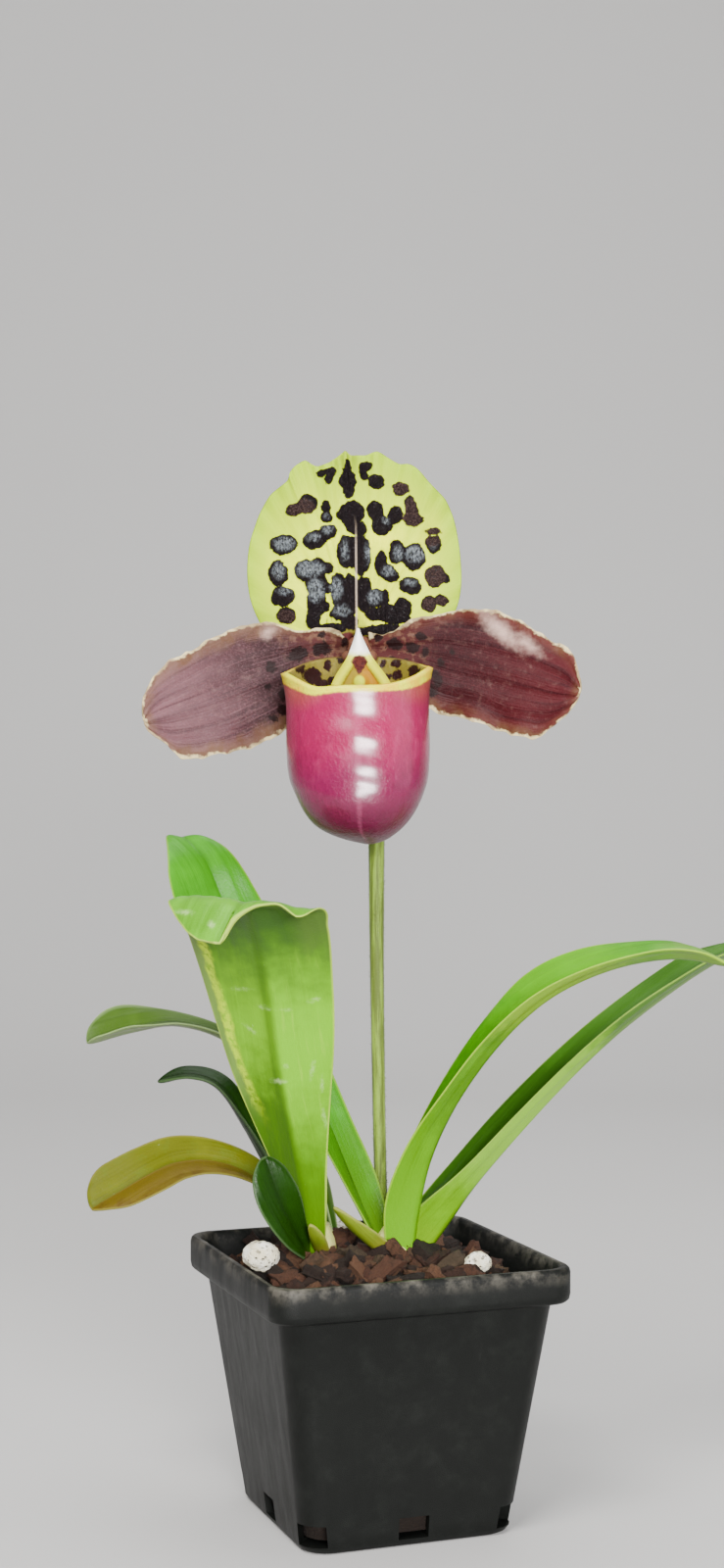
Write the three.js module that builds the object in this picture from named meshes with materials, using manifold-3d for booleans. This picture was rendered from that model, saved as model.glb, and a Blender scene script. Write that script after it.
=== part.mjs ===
// Slipper orchid (Paphiopedilum henryanum) in flower, growing in a small square nursery pot.
// Millimetres, +Z up. The origin is the middle of the pot's underside.
// The flower faces -Y, and +X is to the right of someone who looks it in the face.
import * as THREE from 'three';
import { mergeVertices } from 'three/addons/utils/BufferGeometryUtils.js';
import Module from 'manifold-3d';

const wasm = await Module();
wasm.setup();

// ------------------------------------------------------------------ driving dimensions

const CLEAR = 0.3; // gap between neighbouring pieces

// Pot: a tapered square nursery pot with a stepped rim band.
const POT_TURN = THREE.MathUtils.degToRad(20);
const POT_HEIGHT = 43;
const POT_BASE_SIDE = 35;
const POT_BODY_SIDE = 47;
const POT_RIM_SIDE = 50;
const POT_RIM_BAND = 6;
const POT_WALL = 1.2;
const POT_FLOOR = 1.6;
const POT_CORNER = 4;
const POT_LIP = 0.6; // rounding of the rim's edges
const DRAIN_HOLES = 8;
const DRAIN_SIZE = [12, 5, 3.5];
const DRAIN_MIDDLE = 2.95;
const DRAIN_CORNER_REACH = 1.22; // a corner hole's distance, in half base sides

// Bark mix: fills the pot and mounds up round the two growths.
const MIX_EDGE = 39;
const MIX_MOUND = 5;
const MIX_ROUGHNESS = 0.8;
const CHIP_COUNT = 26;
const CHIP_SIZE = [6.5, 3.8, 2.4];
const CHIP_TILT = 0.9;
const CHIP_SKEW = 0.25;
const CHIP_INSET = 2.6; // how far from the wall the outermost chip's middle lies
const MIX_SEED = 21;

// Growths: two short upright shoots joined by a rhizome inside the mix.
const MAIN_SHOOT = { x: 3.5, y: 1.0, rx: 4.2, ry: 5.0, bottom: 31, top: 48 };
const LEFT_SHOOT = { x: -8.2, y: 1.5, rx: 2.8, ry: 6.5, bottom: 32, top: 47 };
const RHIZOME_LINE = [[-8.2, 1.5, 35], [-2, 1, 34], [3.5, 1, 35]];
const RHIZOME_RADII = [1.9, 1.6, 1.9];
const ROOTS = [[MAIN_SHOOT, 0.5], [MAIN_SHOOT, -1.1], [LEFT_SHOOT, 2.6], [LEFT_SHOOT, -2.2]];
const ROOT_RUN = [[0, -4], [4, 3], [5, 17]]; // out from the shoot, down from its bottom
const ROOT_RADII = [1.3, 1.3, 1.04];

// Stones lying in the mix: centre and half sizes.
const STONES = {
  pumice_front: { at: [-18.0, -11.5, 44.3], half: [3.1, 2.6, 2.5], seed: 5 },
  pumice_right: { at: [16.5, -8.5, 42.6], half: [2.4, 2.0, 1.8], seed: 8 },
  pumice_back: { at: [-6.5, 17.5, 42.8], half: [2.6, 2.1, 1.9], seed: 13 },
};

// Scape and ovary: a stalk up to the bract, then the grooved ovary that arches to the flower.
const SCAPE_LINE = [[1.5, 3.0, 43.5], [1.0, 3.8, 56], [0.5, 4.0, 86.5], [0.4, 5.0, 110.5]];
const SCAPE_RADII = [1.05, 1.05, 1.15, 1.35];
const OVARY_LINE = [
  [0.4, 5.1, 110.8], [0.1, 6.6, 118], [-0.8, 7.6, 126], [-1.8, 6.6, 134], [-2.4, 2.9, 139.4],
];
const OVARY_RADII = [1.4, 1.9, 2.1, 1.9, 1.5];

// Flower: the receptacle is the point where every flower piece meets.
const RECEPTACLE = { x: -2.4, y: -1.0, z: 140.6, radius: 2.6 };

// Dorsal sepal: its outline round the receptacle, and how far the top leans forward.
const SEPAL_OUTLINE = [
  [7, -1.6], [13, 1.6], [16, 6.6], [16.8, 11.9], [16, 19.2], [14.4, 23.7], [11.9, 26.3], [8.9, 29.3],
  [6.3, 29.8], [3.2, 31.5], [1.3, 30.9], [-1.1, 31.0], [-2.1, 31.8], [-3.2, 30.9], [-4.7, 29.8], [-6.8, 29.3],
  [-8.7, 30.2], [-10.8, 28.7], [-11.6, 26.9], [-14.4, 24.7], [-16.6, 20.6], [-18, 15], [-17.6, 8], [-14.4, 2],
  [-8.5, -1.6],
];
const SEPAL_LEAN = 4;
const SEPAL_THICKNESS = 0.9;
const SEPAL_CLAW = 0.07; // the innermost ring of the sepal, as a share of its outline
const SEPAL_CUP = 0.005; // how fast the sides bend back, per millimetre
const SEPAL_RIPPLE = 0.55;
const SEPAL_RIPPLES = 6.5;

// Pouch: centre and half sizes of its level sections, from the toe to the rim.
const POUCH_SECTIONS = [
  // z, centre x, centre y, half width, half depth
  [109.7, -0.9, -20.6, 0.6, 0.5],
  [110.3, -1.3, -20.7, 2.9, 2.6],
  [111.2, -1.9, -20.8, 4.9, 4.4],
  [112.6, -2.3, -20.8, 6.9, 6.4],
  [114.6, -2.4, -20.7, 8.5, 8.3],
  [117.2, -2.4, -20.4, 9.8, 9.7],
  [120.2, -2.5, -20.0, 10.8, 10.6],
  [125.0, -2.6, -19.1, 11.15, 11.0],
  [131.0, -2.7, -17.9, 11.1, 11.3],
  [136.0, -2.8, -17.2, 11.4, 11.5],
  [141.0, -2.8, -16.6, 11.6, 11.8],
];
const POUCH_RIM = { front: 133.7, back: 139.2, right: 137.1, left: 136.2, sweep: 3 };
const POUCH_WALL = 0.9;
const POUCH_LIP_FLARE = 0.25; // how far the outer skin turns out at the rim
const POUCH_SHARES = [0, 0.02, 0.05, 0.1, 0.18, 0.28, 0.42, 0.58, 0.74, 0.88, 1];
const POUCH_SIDES = 28;

// Column: the rod forward from the receptacle, an anther on each side, the shield on its end.
const COLUMN_ROD = [[-2.4, -1.0, 140.6], [-2.4, -5.0, 140.8], [-2.3, -11.8, 139.8]];
const COLUMN_RADII = [1.7, 1.5, 1.4];
const ANTHER = { out: 1.9, forward: 5.5, down: 1.2, half: [1.0, 1.2, 1.0] };
const SHIELD_HALVES = [0.4, 0.6, 1.0, 1.7, 2.5, 3.5, 4.4];
const SHIELD = { top: 143.9, foot: 134.4, forward: 9.4, lean: 1.2, dome: 1.1, thickness: 1.2 };

// Blades: stations along the midrib, then tables of the same length or shorter that are spread
// evenly along it. wide_a is the half width towards tangent x face, wide_b the other one.
// fold raises both halves towards the face, in degrees, and curl bends the margins back.
const BLADES = {
  leaf_fold: {
    line: [
      [-9.5, -3, 41], [-10.5, -6, 49.5], [-12.5, -10, 62], [-14.5, -15, 74.5], [-16, -21, 87.5],
      [-17.5, -29, 97], [-19.5, -38, 101.3], [-22.5, -47, 96.3],
    ],
    face: [[0.1, 0.9, 0.3], [0.15, 0.7, 0.7], [0.1, 0.1, 1]],
    wide_a: [1.8, 3.6, 6.6, 9.8, 12.4, 13.2, 11.8, 8],
    wide_b: [1.8, 2.4, 3.2, 4.2, 5.4, 6.7, 8, 9, 9.7, 10.3, 10.7, 10.8, 4.8, 0.7, 0.5],
    fold: [50, 30, 22, 16, 12, 10, 6, -6],
    curl: [0, 0, 0, 0, 0, 0, 0.08, 0.25],
    wave: 0.7,
    waves: 2.2,
    colour: 0x7aa63a,
  },
  leaf_back: {
    line: [
      [2, 0, 41], [-3, 2.5, 52], [-8, 6, 63.5], [-14, 9, 76.5], [-19.5, 12, 87.5],
      [-25, 14, 97.5], [-28.5, 15, 105.5], [-32.2, 18, 109.4], [-34, 23, 109.4],
    ],
    face: [[0.6, -0.8, 0.2], [0.45, -0.85, 0.3], [0.3, -0.8, 0.5], [0, -0.1, 1]],
    wide_a: [2.5, 4.4, 4.2, 4.6, 5.8, 6.2, 4.8, 2.8, 1.6],
    wide_b: [2.5, 4, 6, 7.4, 8.8, 9.8, 8.8, 4, 1.8],
    fold: [60, 45, 35, 28, 22, 18, 16, 14, 10],
    colour: 0x4f9a2e,
  },
  leaf_side_upper: {
    line: [
      [-7, 7, 41], [-11, 12, 54], [-17.5, 16, 67.5], [-24.5, 19, 75], [-33.5, 20, 78],
      [-41.5, 19, 77], [-49, 17, 75],
    ],
    face: [[0.9, -0.2, 0.3], [0.5, -0.1, 0.8], [0, -0.35, 0.9]],
    wide_a: [2, 3.5, 3.6, 3.2, 3.2, 5.4, 5.4],
    wide_b: [2, 3.5, 3.6, 3.2, 3.2, 5.4, 4.6],
    fold: [60, 45, 28, 14, 16, 34, 40],
    rows: 14,
    columns: 4,
    colour: 0x5c9433,
  },
  leaf_side_dark: {
    line: [
      [-8, 7, 42], [-15.5, 15, 50], [-21.5, 21, 59.5], [-26.5, 24, 66.5], [-32, 25, 68.5],
      [-37.5, 24, 67.5],
    ],
    face: [[0.6, 0.3, 0.4], [0.4, -0.2, 0.8], [0, -0.3, 0.9]],
    wide_a: [1.6, 2.4, 2.6, 2.7, 2.5, 1.7],
    wide_b: [1.6, 2.4, 2.6, 2.7, 2.5, 1.7],
    fold: [60, 45, 30, 18, 14, 20],
    rows: 12,
    columns: 4,
    colour: 0x2f5d26,
  },
  leaf_yellow: {
    line: [
      [-10, 1, 42], [-15.5, 4.5, 50.2], [-21, 6, 54.4], [-27, 6, 56.4], [-32.5, 4.5, 56.4],
      [-37, 2, 54.8], [-41.5, 0, 52.4], [-46, -2, 50],
    ],
    face: [[0.5, -0.2, 0.8], [0, -0.65, 0.75], [-0.1, -0.75, 0.65]],
    wide_a: [1.8, 2.8, 3.6, 4.1, 4.8, 5.2, 5.6, 5.6],
    wide_b: [1.8, 2.8, 3.6, 4.6, 5.4, 5.6, 4.6, 2.4],
    fold: [50, 36, 26, 22, 20, 20, 20, 20],
    rows: 14,
    columns: 4,
    colour: 0xa99a2c,
  },
  leaf_young: {
    line: [[-10.5, -4, 42.5], [-13, -9, 48], [-15.5, -11.5, 54], [-17.5, -12, 60]],
    face: [[0.5, -0.7, 0.5], [0.35, -0.9, 0.2]],
    wide_a: [1.6, 3.1, 3.6, 2.2],
    wide_b: [1.6, 3.7, 4.2, 2.4],
    fold: [30, 16, 12, 10],
    rows: 10,
    columns: 4,
    colour: 0x2c5c24,
  },
  leaf_arch: {
    line: [
      [5.5, -2, 41.5], [6.6, -3, 50], [8.7, -4, 59], [13, -5, 68.2], [19.3, -7, 77.3],
      [26, -9, 84.1], [32.8, -11, 88.4], [40.5, -13, 91.2], [48.5, -15, 92.2], [56, -16, 90.8],
    ],
    face: [[-1, 0.1, 0.1], [-0.9, 0, 0.4], [-0.6, -0.1, 0.7], [-0.2, -0.13, 1], [0.1, 0.1, 1]],
    wide_a: [4, 5.6, 5.6, 5.8, 6, 6, 5.6, 5.2, 4.6, 2.4],
    wide_b: [4, 5.2, 4.6, 5, 6, 7.8, 7.8, 6.4, 4.6, 2.4],
    fold: [80, 76, 56, 36, 30, 26, 22, 20, 22, 20],
    colour: 0x63a52c,
  },
  leaf_long: {
    line: [
      [7, 1, 41], [11.5, 2, 47], [16.4, 3, 53.6], [23.8, 5, 61.8], [32.3, 7, 70.5],
      [40.5, 9, 77.8], [49, 12, 83.9], [56.5, 14, 88.6], [64, 16, 92],
    ],
    face: [[-0.8, 0.05, 0.6], [-0.7, -0.1, 0.7], [-0.6, -0.18, 0.8], [-0.5, -0.25, 0.9]],
    wide_a: [6, 6.4, 6, 6, 6, 6, 5.6, 5, 3],
    wide_b: [6, 6.4, 6.4, 6.2, 5.8, 5.6, 5.6, 5, 3],
    fold: [76, 64, 44, 38, 33, 30, 27, 26, 24],
    colour: 0x6fae35,
  },
  sheath_main: {
    line: [[1.5, -4.5, 43], [-2.5, -7, 47], [-6.5, -8.5, 51.5]],
    face: [[0.5, 0.6, 0.5], [0.4, 0.6, 0.7]],
    wide_a: [2.6, 2.4, 0.6],
    wide_b: [2.6, 2.4, 0.6],
    fold: [40, 25, 10],
    rows: 6,
    columns: 2,
    colour: 0xa9b84a,
  },
  sheath_left: {
    line: [[-8.5, -5, 43.5], [-9.2, -8.5, 46.5], [-10.3, -10, 49]],
    face: [[0.1, 0.9, 0.4], [0.1, 0.9, 0.4]],
    wide_a: [1.5, 1.3, 0.5],
    wide_b: [1.5, 1.3, 0.5],
    fold: [30, 20, 10],
    rows: 5,
    columns: 2,
    colour: 0x6b8a35,
  },
  synsepal: {
    line: [[-2.4, -0.6, 139], [-2.3, 0.8, 133], [-2, 0.6, 126], [-1.6, -0.8, 119], [-1.3, -3, 113.5]],
    face: [[0, -1, 0], [0, -1, 0.2]],
    wide_a: [2.5, 6.2, 7.6, 6.6, 3.4],
    wide_b: [2.5, 6.2, 7.6, 6.6, 3.4],
    fold: [10, 12, 14, 14, 12],
    rows: 10,
    columns: 4,
    colour: 0xb7c56a,
  },
  bract: {
    line: [[0.4, 6.9, 111.5], [0.3, 9.2, 117], [-0.2, 11, 123], [-0.6, 11.6, 128]],
    face: [[0, -1, 0.2], [0, -1, 0]],
    wide_a: [1.6, 3.6, 3.2, 1],
    wide_b: [1.6, 3.6, 3.2, 1],
    fold: [55, 45, 40, 30],
    rows: 8,
    columns: 4,
    colour: 0x8a9a4a,
  },
  petal_left: {
    line: [
      [-4, -2.6, 141], [-9, -4, 140], [-14.5, -5, 137.5], [-21, -6, 135], [-27, -7, 132.5],
      [-32.5, -8, 130.5], [-36.8, -9, 129],
    ],
    face: [[0, -1, 0], [0, -1, 0]],
    wide_a: [2, 4.4, 7.8, 9.3, 8.4, 6.8, 4.6],
    wide_b: [2, 4.8, 7.8, 9.6, 9.6, 7.6, 5],
    fold: [8, 4, 0, -4, -4, -4, -4],
    wave: 0.9,
    waves: 4.3,
    colour: 0x8c4a5a,
  },
  petal_right: {
    line: [
      [-1, -2.6, 141], [4.5, -4, 140.5], [10.5, -5, 139.5], [17, -6, 138], [23, -7, 136.5],
      [28.5, -8, 134.8], [32.8, -9, 133.5],
    ],
    face: [[0, -1, 0], [0, -1, 0]],
    wide_a: [2, 4.2, 8.2, 8.7, 9.9, 8.3, 5],
    wide_b: [2, 4.2, 7.9, 8.8, 8, 6.4, 4.4],
    fold: [8, 4, 0, -4, -4, -4, -4],
    wave: 0.9,
    waves: 4.3,
    colour: 0x6e2a34,
  },
};
const BLADE_THICK = 1.1; // at the midrib
const MARGIN_THICK = 0.7; // at the margins
const TIP_ROUNDING = 0.84; // where a blade's rounded end begins, as a share of its length
const TIP_WIDTH = 0.12; // the width left at the very end, as a share
const MIDRIB_ROUNDING = 0.5;

const COLOURS = {
  pot: 0x14171a,
  bark_mix: 0x3a2418,
  stone: 0xcfc9b4,
  rhizome: 0x8fa545,
  scape: 0x6d6a3a,
  ovary: 0x6a5a3c,
  column: 0xe7c25a,
  dorsal_sepal: 0xcfd94a,
  pouch: 0xa8325e,
};

// ------------------------------------------------------------------ general helpers

// A repeatable row of draws between 0 and 1.
function seededDraws(seed) {
  let state = seed;
  return () => {
    state = (state * 1664525 + 1013904223) % 4294967296;
    return state / 4294967296;
  };
}

// The value at share t of a table spread evenly from 0 to 1, on a smooth curve through it.
function along(table, t) {
  const last = table.length - 1;
  const place = Math.min(Math.max(t, 0), 1) * last;
  const i = Math.min(Math.floor(place), last - 1);
  const f = place - i;
  const p1 = table[i];
  const p2 = table[i + 1];
  const p0 = i > 0 ? table[i - 1] : 2 * p1 - p2;
  const p3 = i + 2 <= last ? table[i + 2] : 2 * p2 - p1;
  const linear = (p2 - p0) * f;
  const square = (2 * p0 - 5 * p1 + 4 * p2 - p3) * f * f;
  const cube = (3 * p1 - p0 - 3 * p2 + p3) * f * f * f;
  return p1 + 0.5 * (linear + square + cube);
}

// The same for a table of points.
function alongPoints(points, t) {
  return new THREE.Vector3(
    along(points.map((p) => p[0]), t),
    along(points.map((p) => p[1]), t),
    along(points.map((p) => p[2]), t),
  );
}

function geometryOf(positions, index) {
  const geometry = new THREE.BufferGeometry();
  geometry.setAttribute('position', new THREE.Float32BufferAttribute(positions, 3));
  geometry.setIndex(index);
  return geometry;
}

// A manifold-3d solid of a closed geometry, with its faces turned outwards.
function solidOf(geometry) {
  const bare = geometry.clone();
  bare.deleteAttribute('normal');
  bare.deleteAttribute('uv');
  const merged = mergeVertices(bare, 1e-4);
  const vertProperties = new Float32Array(merged.attributes.position.array);
  const triVerts = new Uint32Array(merged.index.array);
  const solid = new wasm.Manifold(new wasm.Mesh({ numProp: 3, vertProperties, triVerts }));
  if (solid.volume() > 0) {
    return solid;
  }
  for (let i = 0; i < triVerts.length; i += 3) {
    const second = triVerts[i + 1];
    triVerts[i + 1] = triVerts[i + 2];
    triVerts[i + 2] = second;
  }
  return new wasm.Manifold(new wasm.Mesh({ numProp: 3, vertProperties, triVerts }));
}

// The largest body of a solid, so that no loose scrap is left of a cut.
function largestBody(solid) {
  const bodies = solid.decompose();
  return bodies.reduce((best, body) => (body.volume() > best.volume() ? body : best));
}

function meshOf(name, solid, colour, roughness = 0.5) {
  const { vertProperties, triVerts } = largestBody(solid).getMesh();
  const mesh = new THREE.Mesh(
    geometryOf(Array.from(vertProperties), Array.from(triVerts)),
    new THREE.MeshStandardMaterial({ color: colour, roughness, metalness: 0 }),
  );
  mesh.name = name;
  return mesh;
}

// A closed solid through rings of points, which all run the same way round.
function loftSolid(rings) {
  const sides = rings[0].length;
  const positions = rings.flatMap((ring) => ring.flatMap((p) => [p.x, p.y, p.z]));
  const index = [];
  for (let k = 0; k + 1 < rings.length; k += 1) {
    for (let i = 0; i < sides; i += 1) {
      const a = k * sides + i;
      const b = k * sides + ((i + 1) % sides);
      index.push(a, b, b + sides, a, b + sides, a + sides);
    }
  }
  for (const [start, order] of [[0, -1], [(rings.length - 1) * sides, 1]]) {
    const middle = positions.length / 3;
    const centre = new THREE.Vector3();
    rings[start / sides].forEach((p) => centre.addScaledVector(p, 1 / sides));
    positions.push(centre.x, centre.y, centre.z);
    for (let i = 0; i < sides; i += 1) {
      const a = start + i;
      const b = start + ((i + 1) % sides);
      index.push(middle, order > 0 ? a : b, order > 0 ? b : a);
    }
  }
  return solidOf(geometryOf(positions, index));
}

function ellipseRing(x, y, z, rx, ry, sides) {
  return Array.from({ length: sides }, (_, i) => {
    const angle = (2 * Math.PI * i) / sides;
    return new THREE.Vector3(x + rx * Math.cos(angle), y + ry * Math.sin(angle), z);
  });
}

// A round stalk along a line of points, with its own radius at each of them.
function stalkSolid(line, radii, { sides = 10, steps = 12, grow = 0 } = {}) {
  const side = new THREE.Vector3(1, 0, 0);
  const rings = [];
  for (let k = 0; k <= steps; k += 1) {
    const t = k / steps;
    const centre = alongPoints(line, t);
    const tangent = alongPoints(line, t + 0.01).sub(alongPoints(line, t - 0.01)).normalize();
    const across = side.clone().addScaledVector(tangent, -side.dot(tangent)).normalize();
    const up = tangent.clone().cross(across);
    const radius = along(radii, t) + grow;
    if (k === 0) {
      centre.addScaledVector(tangent, -grow);
    }
    if (k === steps) {
      centre.addScaledVector(tangent, grow);
    }
    rings.push(Array.from({ length: sides }, (_, i) => {
      const angle = (2 * Math.PI * i) / sides;
      return centre.clone()
        .addScaledVector(across, radius * Math.cos(angle))
        .addScaledVector(up, radius * Math.sin(angle));
    }));
  }
  return loftSolid(rings);
}

// A closed solid on both sides of a middle surface. middle(u, v) is a point and
// thickness(u, v) the full thickness there, for u and v from 0 to 1. Both faces are split alike.
function sheetSolid(middle, thickness, rows, columns) {
  const count = (rows + 1) * (columns + 1);
  const step = 1e-3;
  const positions = [];
  for (const share of [0.5, -0.5]) {
    for (let i = 0; i <= rows; i += 1) {
      for (let j = 0; j <= columns; j += 1) {
        const u = i / rows;
        const v = j / columns;
        const alongU = middle(Math.min(u + step, 1), v).sub(middle(Math.max(u - step, 0), v));
        const alongV = middle(u, Math.min(v + step, 1)).sub(middle(u, Math.max(v - step, 0)));
        const normal = alongU.cross(alongV).normalize();
        const point = middle(u, v).addScaledVector(normal, share * thickness(u, v));
        positions.push(point.x, point.y, point.z);
      }
    }
  }
  const at = (i, j) => i * (columns + 1) + j;
  const index = [];
  for (let i = 0; i < rows; i += 1) {
    for (let j = 0; j < columns; j += 1) {
      const [a, b, c, d] = [at(i, j), at(i + 1, j), at(i + 1, j + 1), at(i, j + 1)];
      index.push(a, b, c, a, c, d);
      index.push(a + count, c + count, b + count, a + count, d + count, c + count);
    }
  }
  const border = [];
  for (let i = 0; i < rows; i += 1) {
    border.push(at(i, 0));
  }
  for (let j = 0; j < columns; j += 1) {
    border.push(at(rows, j));
  }
  for (let i = rows; i > 0; i -= 1) {
    border.push(at(i, columns));
  }
  for (let j = columns; j > 0; j -= 1) {
    border.push(at(0, j));
  }
  border.forEach((p, k) => {
    const q = border[(k + 1) % border.length];
    index.push(q, p, p + count, q, p + count, q + count);
  });
  return solidOf(geometryOf(positions, index));
}

// ------------------------------------------------------------------ blades

// A leaf, petal, sepal or sheath from its row in BLADES. grow makes the same blade larger all
// round, which is used to cut its neighbours clear of it.
function bladeSolid(blade, grow = 0) {
  const { line, face, wide_a, wide_b, fold, curl = [0, 0], wave = 0, waves = 0 } = blade;
  const { rows = 18, columns = 6 } = blade;
  const middle = (u, v) => {
    const t = 1 - (1 - u) ** 1.25;
    const side = 2 * v - 1;
    const tangent = alongPoints(line, t + 0.01).sub(alongPoints(line, t - 0.01)).normalize();
    const normal = alongPoints(face, t);
    normal.addScaledVector(tangent, -normal.dot(tangent)).normalize();
    const across = tangent.clone().cross(normal);
    const beyond = Math.max(0, (t - TIP_ROUNDING) / (1 - TIP_ROUNDING));
    const rounding = Math.max(Math.sqrt(1 - beyond * beyond), TIP_WIDTH);
    const width = along(side > 0 ? wide_a : wide_b, t) * rounding + grow;
    const reach = Math.abs(side) * width;
    const angle = THREE.MathUtils.degToRad(along(fold, t));
    const raised = Math.hypot(reach, MIDRIB_ROUNDING) - MIDRIB_ROUNDING;
    const ripple = wave * side ** 4 * Math.sin(2 * Math.PI * waves * t + (side > 0 ? 0 : 2));
    const height = raised * Math.sin(angle) - along(curl, t) * width * side * side + ripple;
    const end = u === 1 ? grow : u === 0 ? -grow : 0;
    return alongPoints(line, t)
      .addScaledVector(across, Math.sign(side) * reach * Math.cos(angle))
      .addScaledVector(normal, height)
      .addScaledVector(tangent, end);
  };
  const thickness = (u, v) => {
    const side = Math.abs(2 * v - 1);
    return BLADE_THICK + (MARGIN_THICK - BLADE_THICK) * side + 2 * grow;
  };
  return sheetSolid(middle, thickness, rows, columns);
}

// ------------------------------------------------------------------ pot and mix

// A square with rounded corners, turned with the pot.
function potRing(side, z, corner = POT_CORNER, steps = 4) {
  const inner = side / 2 - corner;
  const points = [];
  for (let q = 0; q < 4; q += 1) {
    const centre = Math.PI / 4 + (q * Math.PI) / 2;
    for (let k = 0; k <= steps; k += 1) {
      const angle = centre - Math.PI / 4 + ((Math.PI / 2) * k) / steps;
      const x = Math.sign(Math.cos(centre)) * inner + corner * Math.cos(angle);
      const y = Math.sign(Math.sin(centre)) * inner + corner * Math.sin(angle);
      points.push(new THREE.Vector3(x, y, z).applyAxisAngle(new THREE.Vector3(0, 0, 1), POT_TURN));
    }
  }
  return points;
}

// The outer side of the pot's tapered body at a height.
const bodySide = (z) => POT_BASE_SIDE + ((POT_BODY_SIDE - POT_BASE_SIDE) * z) / POT_HEIGHT;

function potSolid() {
  const step = POT_HEIGHT - POT_RIM_BAND;
  const inside = 2 * POT_WALL;
  let pot = loftSolid([
    potRing(POT_BASE_SIDE - 2, 0),
    potRing(bodySide(1), 1),
    potRing(bodySide(step), step),
    potRing(POT_RIM_SIDE - 0.4, step + 0.8),
    potRing(POT_RIM_SIDE, POT_HEIGHT - POT_LIP),
    potRing(POT_RIM_SIDE - POT_LIP, POT_HEIGHT),
    potRing(POT_RIM_SIDE - inside, POT_HEIGHT),
    potRing(POT_RIM_SIDE - inside - POT_LIP, POT_HEIGHT - POT_LIP),
    potRing(bodySide(step) - inside, step - 0.5),
    potRing(bodySide(POT_FLOOR) - inside, POT_FLOOR),
  ]);
  // A drain hole in the middle of each wall and one at each corner, at the foot.
  for (let k = 0; k < DRAIN_HOLES; k += 1) {
    const reach = (POT_BASE_SIDE / 2) * (k % 2 === 0 ? 1 : DRAIN_CORNER_REACH);
    const hole = new THREE.BoxGeometry(...DRAIN_SIZE);
    hole.translate(reach, 0, DRAIN_MIDDLE);
    hole.rotateZ(POT_TURN + (2 * Math.PI * k) / DRAIN_HOLES);
    pot = pot.subtract(solidOf(hole));
  }
  return pot;
}

// The height of the mix at a place, before its chips are added.
function mixHeight(x, y, draw) {
  const distance = Math.min(Math.hypot(x + 2, y) / (POT_RIM_SIDE / 2), 1);
  return MIX_EDGE + MIX_MOUND * (1 - distance * distance) + MIX_ROUGHNESS * (draw() - 0.5);
}

function mixSolid() {
  const draw = seededDraws(MIX_SEED);
  const gap = 2 * (POT_WALL + CLEAR);
  const step = POT_HEIGHT - POT_RIM_BAND;
  const rings = [
    potRing(bodySide(POT_FLOOR) - gap, POT_FLOOR + CLEAR, POT_CORNER, 2),
    potRing(bodySide(step) - gap, step - 0.5, POT_CORNER, 2),
  ];
  const edge = potRing(bodySide(step) - gap + 1.2, MIX_EDGE, POT_CORNER, 2);
  for (const share of [1, 0.8, 0.6, 0.4, 0.2]) {
    rings.push(edge.map((p) => {
      const point = new THREE.Vector3(p.x * share, p.y * share, 0);
      point.z = mixHeight(point.x, point.y, draw);
      return point;
    }));
  }
  let mix = loftSolid(rings);
  const reach = (bodySide(step) - gap) / 2 - CHIP_INSET;
  for (let k = 0; k < CHIP_COUNT; k += 1) {
    const chip = new THREE.BoxGeometry(...CHIP_SIZE.map((size) => size * (0.7 + 0.6 * draw())));
    const corners = chip.attributes.position;
    const skew = CHIP_SKEW * (draw() - 0.5);
    for (let i = 0; i < corners.count; i += 1) {
      corners.setX(i, corners.getX(i) * (1 + skew * Math.sign(corners.getY(i))));
    }
    chip.rotateX(CHIP_TILT * (draw() - 0.5));
    chip.rotateY(CHIP_TILT * (draw() - 0.5));
    chip.rotateZ(Math.PI * draw());
    const place = new THREE.Vector3(reach * (2 * draw() - 1), reach * (2 * draw() - 1), 0);
    place.applyAxisAngle(new THREE.Vector3(0, 0, 1), POT_TURN);
    chip.translate(place.x, place.y, mixHeight(place.x, place.y, () => 0.5) + 0.3);
    mix = mix.add(solidOf(chip));
  }
  return mix;
}

function stoneSolid({ at, half, seed }, grow = 0) {
  const draw = seededDraws(seed);
  const stone = mergeVertices(new THREE.IcosahedronGeometry(1, 1).deleteAttribute('normal')
    .deleteAttribute('uv'));
  const corners = stone.attributes.position;
  for (let i = 0; i < corners.count; i += 1) {
    const bump = 0.88 + 0.18 * draw();
    corners.setXYZ(
      i,
      at[0] + corners.getX(i) * bump * (half[0] + grow * 1.2),
      at[1] + corners.getY(i) * bump * (half[1] + grow * 1.2),
      at[2] + corners.getZ(i) * bump * (half[2] + grow * 1.2),
    );
  }
  return solidOf(stone);
}

// ------------------------------------------------------------------ growths

function shootSolid(shoot, grow = 0) {
  const { x, y, rx, ry, bottom, top } = shoot;
  const levels = [
    [bottom - grow, 0.55], [bottom + 2, 0.85], [bottom + 6, 1],
    [top - 4, 0.95], [top - 1.5, 0.75], [top + grow, 0.3],
  ];
  return loftSolid(levels.map(([z, share]) => (
    ellipseRing(x, y, z, rx * share + grow, ry * share + grow, 14)
  )));
}

// Both shoots, the rhizome that joins them, and the thick roots that go down into the mix.
function rhizomeSolid(grow = 0) {
  let rhizome = shootSolid(MAIN_SHOOT, grow)
    .add(shootSolid(LEFT_SHOOT, grow))
    .add(stalkSolid(RHIZOME_LINE, RHIZOME_RADII, { sides: 8, steps: 4, grow }));
  for (const [shoot, angle] of ROOTS) {
    const outX = Math.cos(angle);
    const outY = Math.sin(angle);
    const root = ROOT_RUN.map(([out, down]) => (
      [shoot.x + out * outX, shoot.y + out * outY, shoot.bottom - down]
    ));
    rhizome = rhizome.add(stalkSolid(root, ROOT_RADII, { sides: 6, steps: 4, grow }));
  }
  return rhizome;
}

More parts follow.
